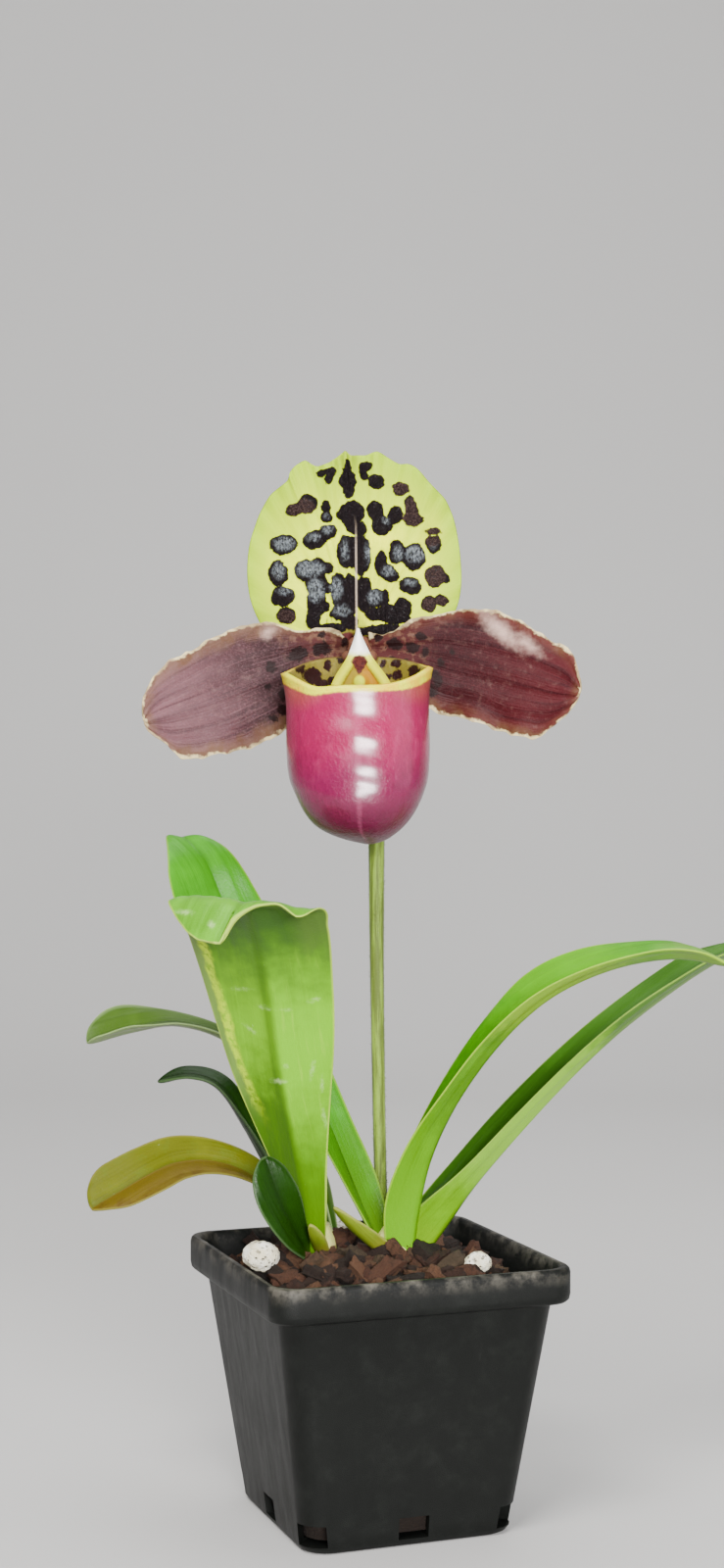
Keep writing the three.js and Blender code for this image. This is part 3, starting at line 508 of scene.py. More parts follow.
def make_blade(name, material, slot, rows, columns, thick=(1.0, 0.45), detail=None, spots=(),
               push=None, painted_sheen=()):
    """A blade as a fine closed sheet. detail(t, side, width) adds height in millimetres, and
    push(t, side, width) moves the points."""
    blade = BLADES[name]
    line = blade["line"]
    t = 1 - (1 - np.linspace(0, 1, rows + 1)) ** CROWDING
    side = np.sin(np.linspace(-1, 1, columns + 1) * math.pi / 2)
    near = 0.01
    tangent = unit(along(line, t + near) - along(line, t - near))
    tangent[0] = unit(along(line, near) - along(line, 0.0))
    tangent[-1] = unit(along(line, 1.0) - along(line, 1 - near))
    normal = along(blade["face"], t)
    normal = unit(normal - tangent * np.sum(normal * tangent, axis=-1, keepdims=True))
    across = np.cross(tangent, normal)
    beyond = rise(t, TIP_ROUNDING, 1)
    rounding = np.maximum(np.sqrt(1 - beyond ** 2), 0.03)
    share, across_share = np.meshgrid(t, side, indexing="ij")
    halves = blade["wide_a"], blade.get("wide_b", blade["wide_a"])
    wide = [(along(half, t) * rounding)[:, None] for half in halves]
    width = np.where(across_share > 0, *wide)
    reach = np.abs(across_share) * width
    angle = np.radians(along(blade["fold"], t))[:, None]
    raised = np.sqrt(reach ** 2 + RIB_SOFTNESS ** 2) - RIB_SOFTNESS
    ripple = blade.get("wave", 0) * across_share ** 4
    ripple = ripple * np.sin(TURN * blade.get("waves", 0) * share + np.where(side > 0, 0, 2))
    bent = along(blade.get("curl", [0, 0]), t)[:, None] * width * across_share ** 2
    height = raised * np.sin(angle) - bent + ripple
    if detail is not None:
        height = height + detail(share, across_share, width)
    middle = (
        along(line, t)[:, None]
        + across[:, None] * (np.sign(across_share) * reach * np.cos(angle))[..., None]
        + normal[:, None] * height[..., None]
    )
    if push is not None:
        middle = middle + push(share, across_share, width)
    body = thick[1] + (thick[0] - thick[1]) * (1 - across_share ** 2)
    for end, power in ((across_share, 10), (share, 40)):
        body = body * np.sqrt(np.maximum(1 - end ** power, THINNEST))
    points, faces, upper, source = pillow(middle, body, flip=True)
    length = np.linalg.norm(np.diff(along(line, t), axis=0), axis=-1).sum()
    flat_t, flat_side, flat_width = [grid.ravel()[source] for grid in (share, across_share, width)]
    edge = np.minimum((1 - np.abs(flat_side)) * flat_width, (1 - flat_t) * length)
    # Marks: the listed spots, which on the folded leaf are painted glints, and the painted sheen.
    marks = [blotches(points[:, 0], points[:, 2], kind) for kind in (spots, painted_sheen)]
    piece = make_piece(name + "_blade", points, faces, material, {
        "shape": (flat_t, flat_side, upper),
        "size": (flat_t * length, flat_side * flat_width, edge),
        "marks": (*marks, upper),
    })
    stand_for(piece, name)


def leaf_material(name, upper, under, foot, margin, foot_end=0.3, roughness=0.34, extra=None):
    """Smooth plain leaf: paler foot, light margin, fine lengthwise veins, small painted glints."""
    leaf = BladeGraph(name, Subsurface_Weight=0.06, Subsurface_Radius=(0.6, 1.0, 0.1))
    veins = leaf.noise(1.0, 2.0, at=leaf.join(leaf.length * 0.05, leaf.width * 1.6))
    broad = leaf.noise(0.16)
    fine = leaf.noise(2.2, 4.0)

    def tones(under_factor, upper_factor):
        lower, higher = np.multiply(under, under_factor), np.multiply(upper, upper_factor)
        return leaf.mix(leaf.on_top, tuple(lower), tuple(higher))

    darker = tones(0.6, 0.55)
    leaf.colour = tones(1, 1)
    leaf.paint(darker, 0.4 * veins.step(0.46, 0.72))
    leaf.paint(tones(1.35, 1.4), 0.6 * broad.step(0.45, 0.7))
    leaf.paint(darker, 0.6 * abs(leaf.width).step(1.2, 0.1))
    if extra is not None:
        extra(leaf)
    leaf.paint(foot, (leaf.t + broad * 0.15).step(foot_end + 0.1, 0.06))
    leaf.paint(margin, 0.8 * leaf.edge.step(0.42, 0.1))
    # Painted glints: small pale strokes that stand in for highlights on the leaf.
    painted_glint_strokes = leaf.noise(1.0, 3.0, 0.7, at=leaf.join(leaf.length * 0.8, leaf.width * 2.2, 4.0))
    painted_glints = painted_glint_strokes.step(0.68, 0.76) * broad.step(0.4, 0.6)
    leaf.paint((0.42, 0.50, 0.30), 0.35 * painted_glints)
    return leaf.finish(fine * 0.2 + (roughness - 0.1), veins * 0.8 + fine * 0.35, 0.00025, 0.5)


# Painted glints on the big leaf's underside and on its flap: x, z in the part's frame.
FOLD_PAINTED_GLINTS = [
    (-20.7, 87.2, 1.0, 0.22), (-17.2, 84.4, 0.7, 0.22, -10), (-13.7, 84.0, 0.5, 0.2),
    (-9.5, 85.6, 0.8, 0.3, 20), (-19.4, 80.6, 0.9, 0.25, -35), (-15.0, 72.3, 1.1, 0.4),
    (-13.9, 74.9, 0.4, 0.4), (-9.8, 74.1, 0.25, 1.2, -10), (-8.0, 66.2, 0.2, 1.0, 10),
    (-8.3, 71.7, 0.2, 0.8), (-28.0, 100.2, 1.0, 0.3), (-23.8, 98.7, 0.5, 0.5, 20),
]


def fold_marks(leaf):
    """The big leaf's underside: painted shade below the fold, bright on its right, and a yellow
    streak on its left."""
    under, cloud = leaf.under, leaf.noise(0.35, 4.0, 0.6)
    level = leaf.t + (cloud - 0.5) * 0.15
    right = leaf.side.step(0.12, -0.05) * under
    bright = level.step(0.20, 0.46) * level.step(0.76, 0.50)
    leaf.paint((0.145, 0.37, 0.003), 0.75 * bright * under)
    leaf.paint((0.145, 0.42, 0.0), 0.6 * bright * right)
    arcs = leaf.noise(1.0, 3.0, 0.6, at=leaf.join(leaf.length * 0.12, leaf.width * 1.3, 7.0))
    leaf.paint((0.21, 0.43, 0.015), 0.5 * arcs.step(0.56, 0.68) * right * bright)
    leaf.paint((0.028, 0.080, 0.001), 0.85 * level.step(0.50, 0.34) * (under - right))
    # Painted shade: the underside is darkened towards the fold, where the flap shades it.
    leaf.paint((0.030, 0.068, 0.016), 0.88 * level.step(0.48, 0.78) * under)
    grey = level.step(0.60, 0.72) * leaf.side.step(-0.35, -0.75) * under
    leaf.paint((0.075, 0.13, 0.025), 0.6 * grey)
    left = leaf.side.step(0.3, 0.5) * leaf.t.step(0.30, 0.44) * leaf.t.step(0.82, 0.76) * under
    inwards = leaf.edge + (cloud - 0.5) * 2.6
    leaf.paint((0.12, 0.19, 0.045), 0.8 * inwards.step(2.4, 1.4) * left)
    streak = inwards.step(1.3, 2.1) * inwards.step(3.9, 2.7) * left
    broken = leaf.noise(0.9, 3.0, 0.6).step(0.36, 0.56)
    leaf.paint((0.36, 0.52, 0.0), streak * (broken * 0.65 + 0.25))
    # Painted shade along the midrib's crease.
    leaf.paint((0.030, 0.085, 0.002), 0.55 * abs(leaf.width - 0.8).step(1.2, 0.2) * under)
    # Painted glints: pale patches at the listed places stand in for highlights.
    painted_glint = leaf.field + leaf.wobble(0.9, 1.6)
    leaf.paint((0.40, 0.56, 0.22), 0.5 * painted_glint.step(-0.3, 0.5))


def arch_marks(leaf):
    """The arching leaf: painted highlight on both faces where it bends over; its foot is lime."""
    level = leaf.t + leaf.wobble(0.2, 0.3, 4.0)
    leaf.paint((0.018, 0.085, 0.0), 0.7 * level.step(0.42, 0.30) * leaf.on_top)
    # Painted highlight: both faces are painted lighter where the leaf bends over.
    painted_highlight_band = level.step(0.44, 0.54) * level.step(0.84, 0.68)
    leaf.paint((0.085, 0.29, 0.0), 0.6 * painted_highlight_band * leaf.on_top)
    leaf.paint((0.20, 0.34, 0.01), 0.6 * painted_highlight_band * leaf.under)
    leaf.paint((0.12, 0.20, 0.035), 0.7 * level.step(0.80, 0.95))


def long_marks(leaf):
    """The long leaf: painted shade on top, greyer outwards; its underside is lime, then dark."""
    level = leaf.t + leaf.wobble(0.2, 0.3, 4.0)
    # Painted shade: the upper face is darkened towards the tip, where its fold shades it.
    leaf.paint((0.026, 0.085, 0.005), 0.85 * level.step(0.45, 0.62) * leaf.on_top)
    pale = level.step(0.16, 0.34) * level.step(0.62, 0.48) * leaf.under
    leaf.paint((0.20, 0.40, 0.03), 0.7 * pale)
    outer = level.step(0.54, 0.66) * leaf.under
    leaf.paint((0.030, 0.095, 0.006), 0.8 * outer)
    leaf.paint((0.13, 0.22, 0.05), 0.6 * outer * abs(leaf.width).step(2.6, 1.0))


def yellow_marks(leaf):
    """The fading leaf: olive-yellow above its rib, ochre below it, brown towards the margin."""
    low, cloud = leaf.side.step(0.03, -0.03), leaf.noise(0.4, 4.0, 0.6)
    leaf.paint((0.075, 0.048, 0.003), 0.85 * low)
    brown = low * cloud.step(0.45, 0.65) * leaf.edge.step(3.5, 0.5)
    leaf.paint((0.045, 0.022, 0.003), 0.6 * brown)
    leaf.paint((0.065, 0.09, 0.005), 0.5 * leaf.side.step(0.0, 0.2) * cloud.step(0.5, 0.62))


def side_marks(leaf):
    """The small side leaf: a light far margin, a painted shadow along the near one, a pale back."""
    leaf.paint((0.08, 0.13, 0.04), 0.7 * leaf.edge.step(1.0, 0.5) * leaf.side.step(0.3, 0.6))
    # Painted shadow: a dark line along the near margin.
    near = leaf.side.step(-0.2, -0.5) * leaf.t.step(0.78, 0.68)
    leaf.paint((0.012, 0.032, 0.003), 0.85 * near)
    leaf.paint((0.13, 0.18, 0.07), 0.9 * leaf.under)


def rib_groove(t, side, width):
    """The midrib's groove on top, soft lengthwise channels and a slow lie of the blade."""
    distance = side * width
    groove = -0.3 * bell(distance, 0.9)
    channels = 0.05 * np.cos(distance * 2.4) * np.minimum(t * 4, 1)
    lie = 0.22 * np.sin(9 * t + 2.5 * side) * side ** 2 * np.minimum(t * 3, 1)
    return groove + channels + lie


def roll_over(t, side, width):
    """The right part of the big leaf's top edge rolls over towards the camera."""
    reach = -side * width
    along_leaf = rise(t, 0.765, 0.825) ** 2 * rise(t, 0.9, 0.87)
    near = bell(reach - 8.6, 2.3) * along_leaf * (side < 0)
    return near[..., None] * np.array([0.0, -2.6, -2.4])


# Each look's colours on top, underneath, at its foot and on its margin, and what else it sets.
LEAF_LOOKS = {
    "leaf_green": (
        (0.032, 0.175, 0.003), (0.05, 0.13, 0.003), (0.050, 0.12, 0.002), (0.15, 0.27, 0.02), {}),
    "leaf_arch": (
        (0.036, 0.18, 0.0), (0.065, 0.19, 0.0), (0.095, 0.27, 0.0), (0.22, 0.36, 0.02),
        dict(extra=arch_marks)),
    "leaf_long": (
        (0.018, 0.065, 0.002), (0.10, 0.25, 0.0), (0.12, 0.25, 0.0), (0.16, 0.27, 0.03),
        dict(foot_end=0.12, extra=long_marks)),
    "leaf_pale_under": (
        (0.075, 0.24, 0.008), (0.046, 0.135, 0.0), (0.060, 0.15, 0.0), (0.30, 0.42, 0.05),
        dict(extra=fold_marks)),
    # Very dark colours: painted shade for the side leaf that stands in shadow; the young leaf
    # shares them.
    "leaf_dark": (
        (0.006, 0.026, 0.001), (0.006, 0.018, 0.001), (0.022, 0.050, 0.003), (0.045, 0.08, 0.03),
        dict(foot_end=0.15, roughness=0.3)),
    "leaf_side": (
        (0.032, 0.070, 0.005), (0.045, 0.090, 0.010), (0.015, 0.045, 0.003), (0.17, 0.24, 0.09),
        dict(foot_end=0.2, extra=side_marks)),
    "leaf_yellow": (
        (0.070, 0.078, 0.002), (0.06, 0.04, 0.002), (0.05, 0.075, 0.003), (0.13, 0.12, 0.02),
        dict(foot_end=0.35, roughness=0.45, extra=yellow_marks)),
    "sheath_pale": (
        (0.12, 0.16, 0.008), (0.13, 0.18, 0.01), (0.15, 0.13, 0.015), (0.19, 0.20, 0.04),
        dict(foot_end=0.4, roughness=0.5)),
}
# Each leaf's look, slot, rows, columns, thickness in the middle and at the margin, and relief.
# The folded one has painted glints and a rolled edge besides.
LEAVES = {
    "leaf_fold": (
        "leaf_pale_under", "leaf_green", 190, 60, (1.1, 0.5), rib_groove, FOLD_PAINTED_GLINTS, roll_over),
    "leaf_back": ("leaf_green", "leaf_green", 130, 44, (1.0, 0.45), rib_groove),
    "leaf_arch": ("leaf_arch", "leaf_green", 150, 40, (1.0, 0.45), rib_groove),
    "leaf_long": ("leaf_long", "leaf_green", 150, 40, (1.0, 0.45), rib_groove),
    "leaf_side_upper": ("leaf_side", "leaf_green", 110, 32, (0.9, 0.4), rib_groove),
    "leaf_side_dark": ("leaf_dark", "leaf_dark", 100, 28, (0.9, 0.4), rib_groove),
    "leaf_yellow": ("leaf_yellow", "leaf_yellow", 110, 32, (0.9, 0.45), rib_groove),
    "leaf_young": ("leaf_dark", "leaf_dark", 80, 28, (1.0, 0.45), rib_groove),
    "sheath_main": ("sheath_pale", "shoot_pale", 50, 20, (0.8, 0.35)),
    "sheath_left": ("sheath_pale", "shoot_pale", 40, 16, (0.8, 0.35)),
}


def make_leaves():
    looks = {
        name: leaf_material(name, *colours, **more) for name, (*colours, more) in LEAF_LOOKS.items()
    }
    for name, (look, *settings) in LEAVES.items():
        make_blade(name, looks[look], *settings)


# ------------------------------------------------------------------ flower

RECEPTACLE = np.array([-2.4, -1.0, 140.6])
RECEPTACLE_RADIUS = 2.6

SEPAL_OUTLINE = [
    (7, -1.6), (13, 1.6), (16, 6.6), (16.8, 11.9), (16, 19.2), (14.4, 23.7), (11.9, 26.3),
    (8.9, 29.3), (6.3, 29.8), (3.2, 31.5), (1.3, 30.9), (-1.1, 31.0), (-2.1, 31.8), (-3.2, 30.9),
    (-4.7, 29.8), (-6.8, 29.3), (-8.7, 30.2), (-10.8, 28.7), (-11.6, 26.9), (-14.4, 24.7),
    (-16.6, 20.6), (-18, 15), (-17.6, 8), (-14.4, 2), (-8.5, -1.6),
]
SEPAL_FOOT = RECEPTACLE + (-0.2, -0.4, 0.4)
SEPAL_HEIGHT = 31.8
SEPAL_LEAN = 4.0
SEPAL_START = 0.07  # share of the outline at which the sheet begins, round its foot
# Ruffles of the sepal's edge: height, how close to the edge they stay, waves and phase.
SEPAL_RUFFLES = ((0.55, 4, 6.5, 0), (0.16, 8, 31, 1))

# Blotches of the dorsal sepal, from its foot: x, z, half width, half height and any tilt.
SEPAL_BLOTCHES = [
    # near the apex
    (-5.9, 28.2, 0.8, 0.5, 20), (-4.9, 28.7, 0.5, 0.3), (-4.5, 27.7, 0.6, 1.1, -25),
    (-1.8, 28.5, 0.5, 1.3), (-1.7, 26.9, 1.3, 1.5), (-1.65, 25.5, 0.8, 1.2),
    (1.2, 29.1, 0.85, 0.6), (0.8, 28.0, 0.45, 0.9, 25),
    (2.9, 26.9, 1.2, 1.1, -25), (6.8, 25.7, 1.25, 0.95),
    # left field
    (-8.2, 23.3, 1.35, 1.5), (-10.2, 22.5, 1.4, 0.9, 15), (-5.3, 22.9, 0.6, 0.8),
    (-5.1, 21.2, 0.8, 0.8), (-5.0, 18.8, 1.4, 1.1, 20), (-7.0, 17.6, 1.8, 1.35, 15),
    (-12.2, 16.8, 2.2, 1.5, 5), (-13.0, 12.2, 1.45, 1.9), (-12.3, 8.5, 1.9, 1.5),
    (-11.8, 5.4, 1.45, 1.2),
    # mottled mass low on the left
    (-8.6, 12.7, 1.6, 1.6), (-6.7, 13.0, 1.5, 1.6), (-4.9, 13.1, 0.8, 0.8),
    (-6.7, 10.3, 1.7, 2.0), (-6.8, 7.4, 1.5, 2.2), (-7.3, 4.8, 1.1, 1.6),
    (-3.2, 9.5, 1.3, 2.4), (-4.0, 3.4, 2.4, 0.6), (-2.5, 6.0, 1.9, 1.2, 10), (-1.4, 4.4, 1.2, 0.9),
    (-4.9, 9.8, 0.7, 0.8), (-5.3, 6.9, 0.6, 0.7),
    # both sides of the midline
    (-1.1, 21.8, 2.0, 1.9), (-2.6, 21.6, 0.9, 0.6), (-0.9, 19.9, 1.1, 1.2), (0.5, 19.4, 0.7, 1.1),
    (-1.9, 15.7, 1.5, 2.4), (0.6, 15.0, 1.3, 3.0), (-0.6, 15.4, 1.1, 2.2), (-1.2, 9.2, 1.2, 2.7),
    (0.9, 8.8, 1.3, 2.5),
    (2.9, 5.6, 1.6, 1.0), (3.9, 3.1, 3.4, 0.8, 3),
    # right field
    (2.7, 22.1, 1.15, 1.5, 15), (3.8, 19.8, 1.5, 1.4), (5.9, 21.5, 1.05, 1.35),
    (6.4, 15.7, 1.3, 1.8), (9.0, 14.9, 1.8, 2.05), (3.6, 13.8, 0.8, 1.8),
    (4.9, 12.2, 1.6, 1.2, -25), (2.8, 8.2, 1.4, 1.4), (4.4, 8.3, 0.5, 1.0),
    (8.4, 10.2, 1.75, 1.25, -10), (4.9, 5.8, 1.5, 1.4), (7.2, 6.5, 1.5, 1.6), (6.2, 4.9, 2.0, 0.8),
    # right edge
    (8.35, 23.6, 0.75, 0.9), (8.75, 22.3, 0.95, 1.1), (8.9, 20.8, 1.4, 1.0),
    (12.1, 19.1, 0.95, 0.5), (12.2, 16.9, 1.2, 1.3, -15), (12.5, 11.8, 1.6, 1.65),
    (14.3, 11.4, 0.6, 0.6), (11.5, 7.3, 1.1, 1.25), (13.5, 7.9, 1.1, 0.8),
]
# The blotches with most brown in them, near the margin.
BROWN_BLOTCHES = [
    (-9.2, 22.4, 2.4, 1.8), (-11.7, 5.1, 1.6, 1.3), (6.8, 25.5, 1.5, 1.3), (8.7, 21.6, 1.7, 2.8),
    (12.1, 18.2, 1.6, 1.7), (12.4, 11.8, 1.9, 1.9), (13.6, 7.7, 1.2, 0.9), (11.5, 7.1, 1.2, 1.4),
]

# Where painted glints, pale painted highlights, lie on the blotches.
SEPAL_PAINTED_GLINTS = [
    (-7.9, 12.9, 2.6, 1.6), (-6.9, 9.5, 1.6, 2.2), (-3.6, 9.6, 1.2, 2.2), (-2.7, 6.2, 1.7, 1.1),
    (2.6, 8.4, 1.4, 1.5), (-2.2, 15.8, 0.8, 2.2), (1.6, 15.4, 0.7, 2.2), (4.9, 12.6, 1.3, 1.0),
    (6.5, 15.4, 1.0, 1.6), (9.2, 15.3, 1.8, 1.6), (8.4, 10.7, 1.4, 0.7), (12.4, 12.4, 1.3, 1.3),
    (-12.1, 17.0, 2.0, 1.3), (-5.0, 19.2, 1.2, 0.9), (-7.2, 18.0, 1.4, 0.9),
    (-12.9, 12.6, 1.2, 1.6), (-12.0, 9.3, 1.5, 0.8), (4.4, 20.6, 0.8, 0.7), (12.2, 17.0, 0.9, 1.0),
    (8.9, 20.9, 1.0, 0.8), (-5.1, 21.3, 0.6, 0.6), (-8.2, 23.2, 0.8, 0.8),
]

# Spots on the feet of the petals: x, z in the part's frame.
PETAL_SPOTS = [
    (-12.2, 140.0, 1.7, 1.2, 25), (-8.6, 140.9, 1.5, 1.1, 15), (-16.6, 137.9, 1.0, 0.9, 20),
    (-8.4, 143.2, 0.5, 0.4), (-14.7, 133.4, 0.8, 1.0), (-16.3, 129.5, 0.6, 0.7),
    (-14.8, 131.0, 0.7, 1.0), (-11.0, 137.4, 1.0, 0.9), (-14.2, 136.6, 0.7, 0.8, 20),
    (-7.2, 138.4, 0.9, 0.8), (-17.2, 134.6, 0.5, 0.6), (-5.0, 142.0, 0.8, 0.6),
    (3.3, 141.6, 1.3, 1.1, -10), (6.1, 141.0, 1.3, 0.8, -10), (7.5, 142.8, 0.8, 0.8),
    (8.1, 140.5, 0.7, 0.8), (0.6, 142.7, 0.7, 0.6), (10.1, 136.0, 0.9, 1.1), (9.3, 133.9, 0.9, 1.1),
    (10.8, 138.4, 0.6, 0.7), (5.2, 138.4, 0.9, 0.8), (3.1, 138.9, 0.8, 0.8),
    (12.4, 140.4, 0.5, 0.5),
]
# Painted sheen, pale painted highlights on the petals: x, z in the part's frame.
PETAL_PAINTED_SHEEN = [
    (20.3, 143.7, 3.8, 1.1, -43), (24.2, 141.6, 2.0, 0.8, -36), (-17.2, 143.4, 1.1, 0.7, 20),
]


def sepal_material():
    sepal = Graph("dorsal_sepal", Subsurface_Weight=0.05, Subsurface_Scale=0.001,
                  Subsurface_Radius=(1.0, 1.0, 0.2), Specular_IOR_Level=0.05)
    # gloss holds where the painted glints go.
    field, brown, gloss = sepal.fields("marks")
    angle, reach, face = sepal.fields("shape")
    sideways, up, _ = sepal.fields("size")
    wobble = sepal.noise(1.0, 4.0, 0.65) - 0.5
    inside = field + wobble * 0.5 + sepal.wobble(0.7, 0.5, 2.0, 0.5)
    spot = inside.step(0.0, 0.12)
    veins = sepal.noise(1.0, 2.0, at=sepal.join(angle * 90.0, reach * 1.5))
    grain = sepal.noise(3.2, 5.0, 0.7)
    sepal.colour = sepal.ramp(reach, [
        (0.0, (0.24, 0.29, 0.0)), (0.3, (0.54, 0.62, 0.0)), (0.6, (0.50, 0.62, 0.0)),
        (0.82, (0.36, 0.49, 0.0)), (1.0, (0.27, 0.42, 0.0))])
    pale = sepal.noise(0.2).step(0.42, 0.68) * reach.step(0.98, 0.55)
    sepal.paint((0.78, 0.82, 0.0), 0.6 * pale)
    sepal.paint((0.32, 0.44, 0.002), 0.3 * veins.step(0.55, 0.72))
    # Painted shade: darker green round the folded apex.
    sepal.paint((0.24, 0.34, 0.005), 0.8 * up.step(26.5, 30.5) * abs(sideways).step(3.0, 1.2))
    sepal.paint((0.34, 0.50, 0.0), 0.4 * up.step(9.0, 2.0) * reach.step(0.45, 0.9))
    throat = sideways * sideways * 0.12 + up * up * 1.3 + wobble * 8.0
    sepal.paint((0.050, 0.010, 0.010), throat.step(20.0, 13.0))
    sepal.paint((0.34, 0.38, 0.02), 0.3 * inside.step(-0.3, 0.05))
    dark = sepal.mix(sepal.noise(1.4, 2.0), (0.003, 0.0025, 0.003), (0.012, 0.008, 0.009))
    russet = sepal.mix(grain.step(0.42, 0.62), (0.010, 0.005, 0.005), (0.050, 0.031, 0.028))
    dark = sepal.mix(brown.step(-0.2, 0.3), dark, russet)
    # Painted glints: grey-white specks on the blotches stand in for highlights.
    painted_glint_specks = sepal.noise(2.2, 6.0, 0.75, pull=(1.3, 1.0, 0.8)).step(0.38, 0.66)
    painted_glint = (gloss + wobble * 1.2).step(-0.15, 0.7) * painted_glint_specks * brown.step(0.3, -0.3)
    dark = sepal.mix(0.8 * painted_glint, dark, (0.21, 0.24, 0.26))
    sepal.paint(sepal.mix(face.step(-0.2, 0.2), (0.22, 0.20, 0.05), dark), spot)
    line = abs(sideways).step(0.24, 0.10) * up.step(22.0, 15.0)
    sepal.paint((0.46, 0.36, 0.28), 0.7 * line)
    warts = spot * grain.step(0.4, 0.75)
    return sepal.finish(0.5 - spot * 0.2, warts * 0.9 + veins * 0.5 + spot * 0.5, 0.0003, 0.7)


def sepal_midline(x, z):
    """How far a point lies to the right of the midline, which bends left near the apex."""
    return x + 0.25 + 0.007 * z + 0.17 * np.maximum(z - 20, 0)


def make_dorsal_sepal():
    rays, rings = 300, 110
    u = np.linspace(0, 1, rays + 1)[:, None]
    v = np.linspace(0, 1, rings + 1)[None, :] ** 0.8
    share = SEPAL_START + (1 - SEPAL_START) * v
    rim = along(SEPAL_OUTLINE, u[:, 0])
    across, up = rim[:, :1] * share, rim[:, 1:] * share
    lean = SEPAL_LEAN * np.maximum(up / SEPAL_HEIGHT, 0) ** 2
    cup = 0.005 * across ** 2
    ruffles = sum(
        height * v ** power * np.sin(TURN * waves * u + phase)
        for height, power, waves, phase in SEPAL_RUFFLES
    )
    ribs = 0.10 * np.cos(across * 2.6 / np.maximum(share, 0.3)) * np.sin(math.pi * v)
    off_midline = sepal_midline(across, up)
    midline = 0.35 * bell(off_midline, 0.5) * np.sin(math.pi * v)
    pinch = 0.9 * bell(off_midline, 1.5) * rise(up, 24, 30)
    warts = 0.16 * rise(blotches(across, up, SEPAL_BLOTCHES), -0.12, 0.48)
    middle = np.stack([
        SEPAL_FOOT[0] + across,
        SEPAL_FOOT[1] - lean + cup + ruffles + ribs + midline + pinch - warts,
        SEPAL_FOOT[2] + up,
    ], axis=-1)
    body = 0.9 - 0.5 * v ** 2 + np.zeros_like(across)
    body = body * np.sqrt(np.maximum(1 - v ** 30, THINNEST))
    points, faces, upper, source = pillow(middle, body, flip=True)
    flat_u, flat_v = [np.broadcast_to(grid, across.shape).ravel()[source] for grid in (u, v)]
    x, z = points[:, 0] - SEPAL_FOOT[0], points[:, 2] - SEPAL_FOOT[2]
    field = blotches(x, z, SEPAL_BLOTCHES)
    field = np.where(flat_v > 0.97, field - (flat_v - 0.97) * 30, field)
    piece = make_piece("dorsal_sepal_sheet", points, faces, sepal_material(), {
        "shape": (flat_u, flat_v, upper),
        "size": (sepal_midline(x, z), z, upper),
        "marks": (field + 0.2, blotches(x, z, BROWN_BLOTCHES), blotches(x, z, SEPAL_PAINTED_GLINTS)),
    })
    stand_for(piece, "dorsal_sepal")


def petal_material(name, face_colour, tip_colour, shade, band, patches):
    petal = BladeGraph(name, Subsurface_Weight=0.05)
    t, side, edge = petal.t, petal.side, petal.edge
    veins = petal.noise(1.0, 2.0, at=petal.join(t * 1.3, side * 6.0))
    thin = petal.noise(1.0, 3.0, 0.6, at=petal.join(t * 4.0, side * 26.0, 3.0))
    cloud = petal.noise(0.3, 4.0, 0.6)
    fine = petal.noise(3.0, 4.0, 0.6)
    soft = petal.noise(0.36, 2.0)
    patchy = petal.noise(0.9, 3.0, 0.55)
    petal.colour = petal.mix((t + cloud * 0.3).step(0.46, 1.04), face_colour, tip_colour)
    petal.paint(shade, 0.55 * veins.step(0.48, 0.64))
    light = [min(value * 1.5 + 0.01, 1) for value in tip_colour]
    petal.paint(light, 0.3 * thin.step(0.54, 0.7))
    petal.paint(light, 0.25 * fine.step(0.45, 0.7))
    petal.paint(band, 0.6 * edge.step(3.0, 0.2))
    olive = edge.step(patches, patches / 4) * soft.step(0.46, 0.64)
    petal.paint((0.080, 0.038, 0.017), 0.7 * olive)
    foot = (t + cloud * 0.12).step(0.42, 0.22)
    petal.paint((0.044, 0.009, 0.009), 0.85 * foot)
    petal.paint((0.14, 0.075, 0.042), 0.4 * foot * patchy.step(0.46, 0.60))
    # Painted sheen: pale patches that stand in for highlights on the petals.
    painted_sheen = (petal.gleam + (patchy - 0.5) * 1.6).step(-1.0, 1.3)
    petal.paint((0.46, 0.31, 0.26), 0.75 * painted_sheen)
    ragged = (edge + (patchy - 0.5) * 1.7).step(0.62, 0.15)
    petal.paint((0.56, 0.46, 0.24), ragged * (soft.step(0.42, 0.54) * 0.5 + 0.4))
    spots = petal.field + (patchy - 0.5) * 2.0 + (fine - 0.5)
    petal.paint((0.008, 0.002, 0.002), spots.step(-0.15, 0.2))
    back = petal.mix(0.55, petal.colour, (0.16, 0.12, 0.04))
    petal.colour = petal.mix(petal.on_top, back, petal.colour)
    height = veins + thin * 0.6 + fine * 0.4
    return petal.finish(fine * 0.25 + 0.3, height, 0.0003, 0.6)


def petal_detail(seed):
    """Fine ruffles of the margin, vein channels and a slow lie of the petal."""
    phase = random.Random(seed).uniform(0, 6)

    def detail(t, side, width):
        swing = TURN * (6 * t + 0.6 * np.sin(5 * t)) + phase + 2 * side
        ruffle = 0.7 * np.abs(side) ** 6 * np.sin(swing)
        ruffle = ruffle + 0.14 * np.abs(side) ** 12 * np.sin(TURN * 19 * t + 2 * phase)
        channels = 0.19 * np.cos(side * 13) * (1 - side ** 2) * np.minimum(4 * t, 1)
        ridge = 0.5 * bell(side * width, 0.8) * (1 - t)
        lie = 0.5 * np.sin(4.5 * t + phase) * side * np.minimum(3 * t, 1)
        return ruffle + channels - ridge + lie

    return detail


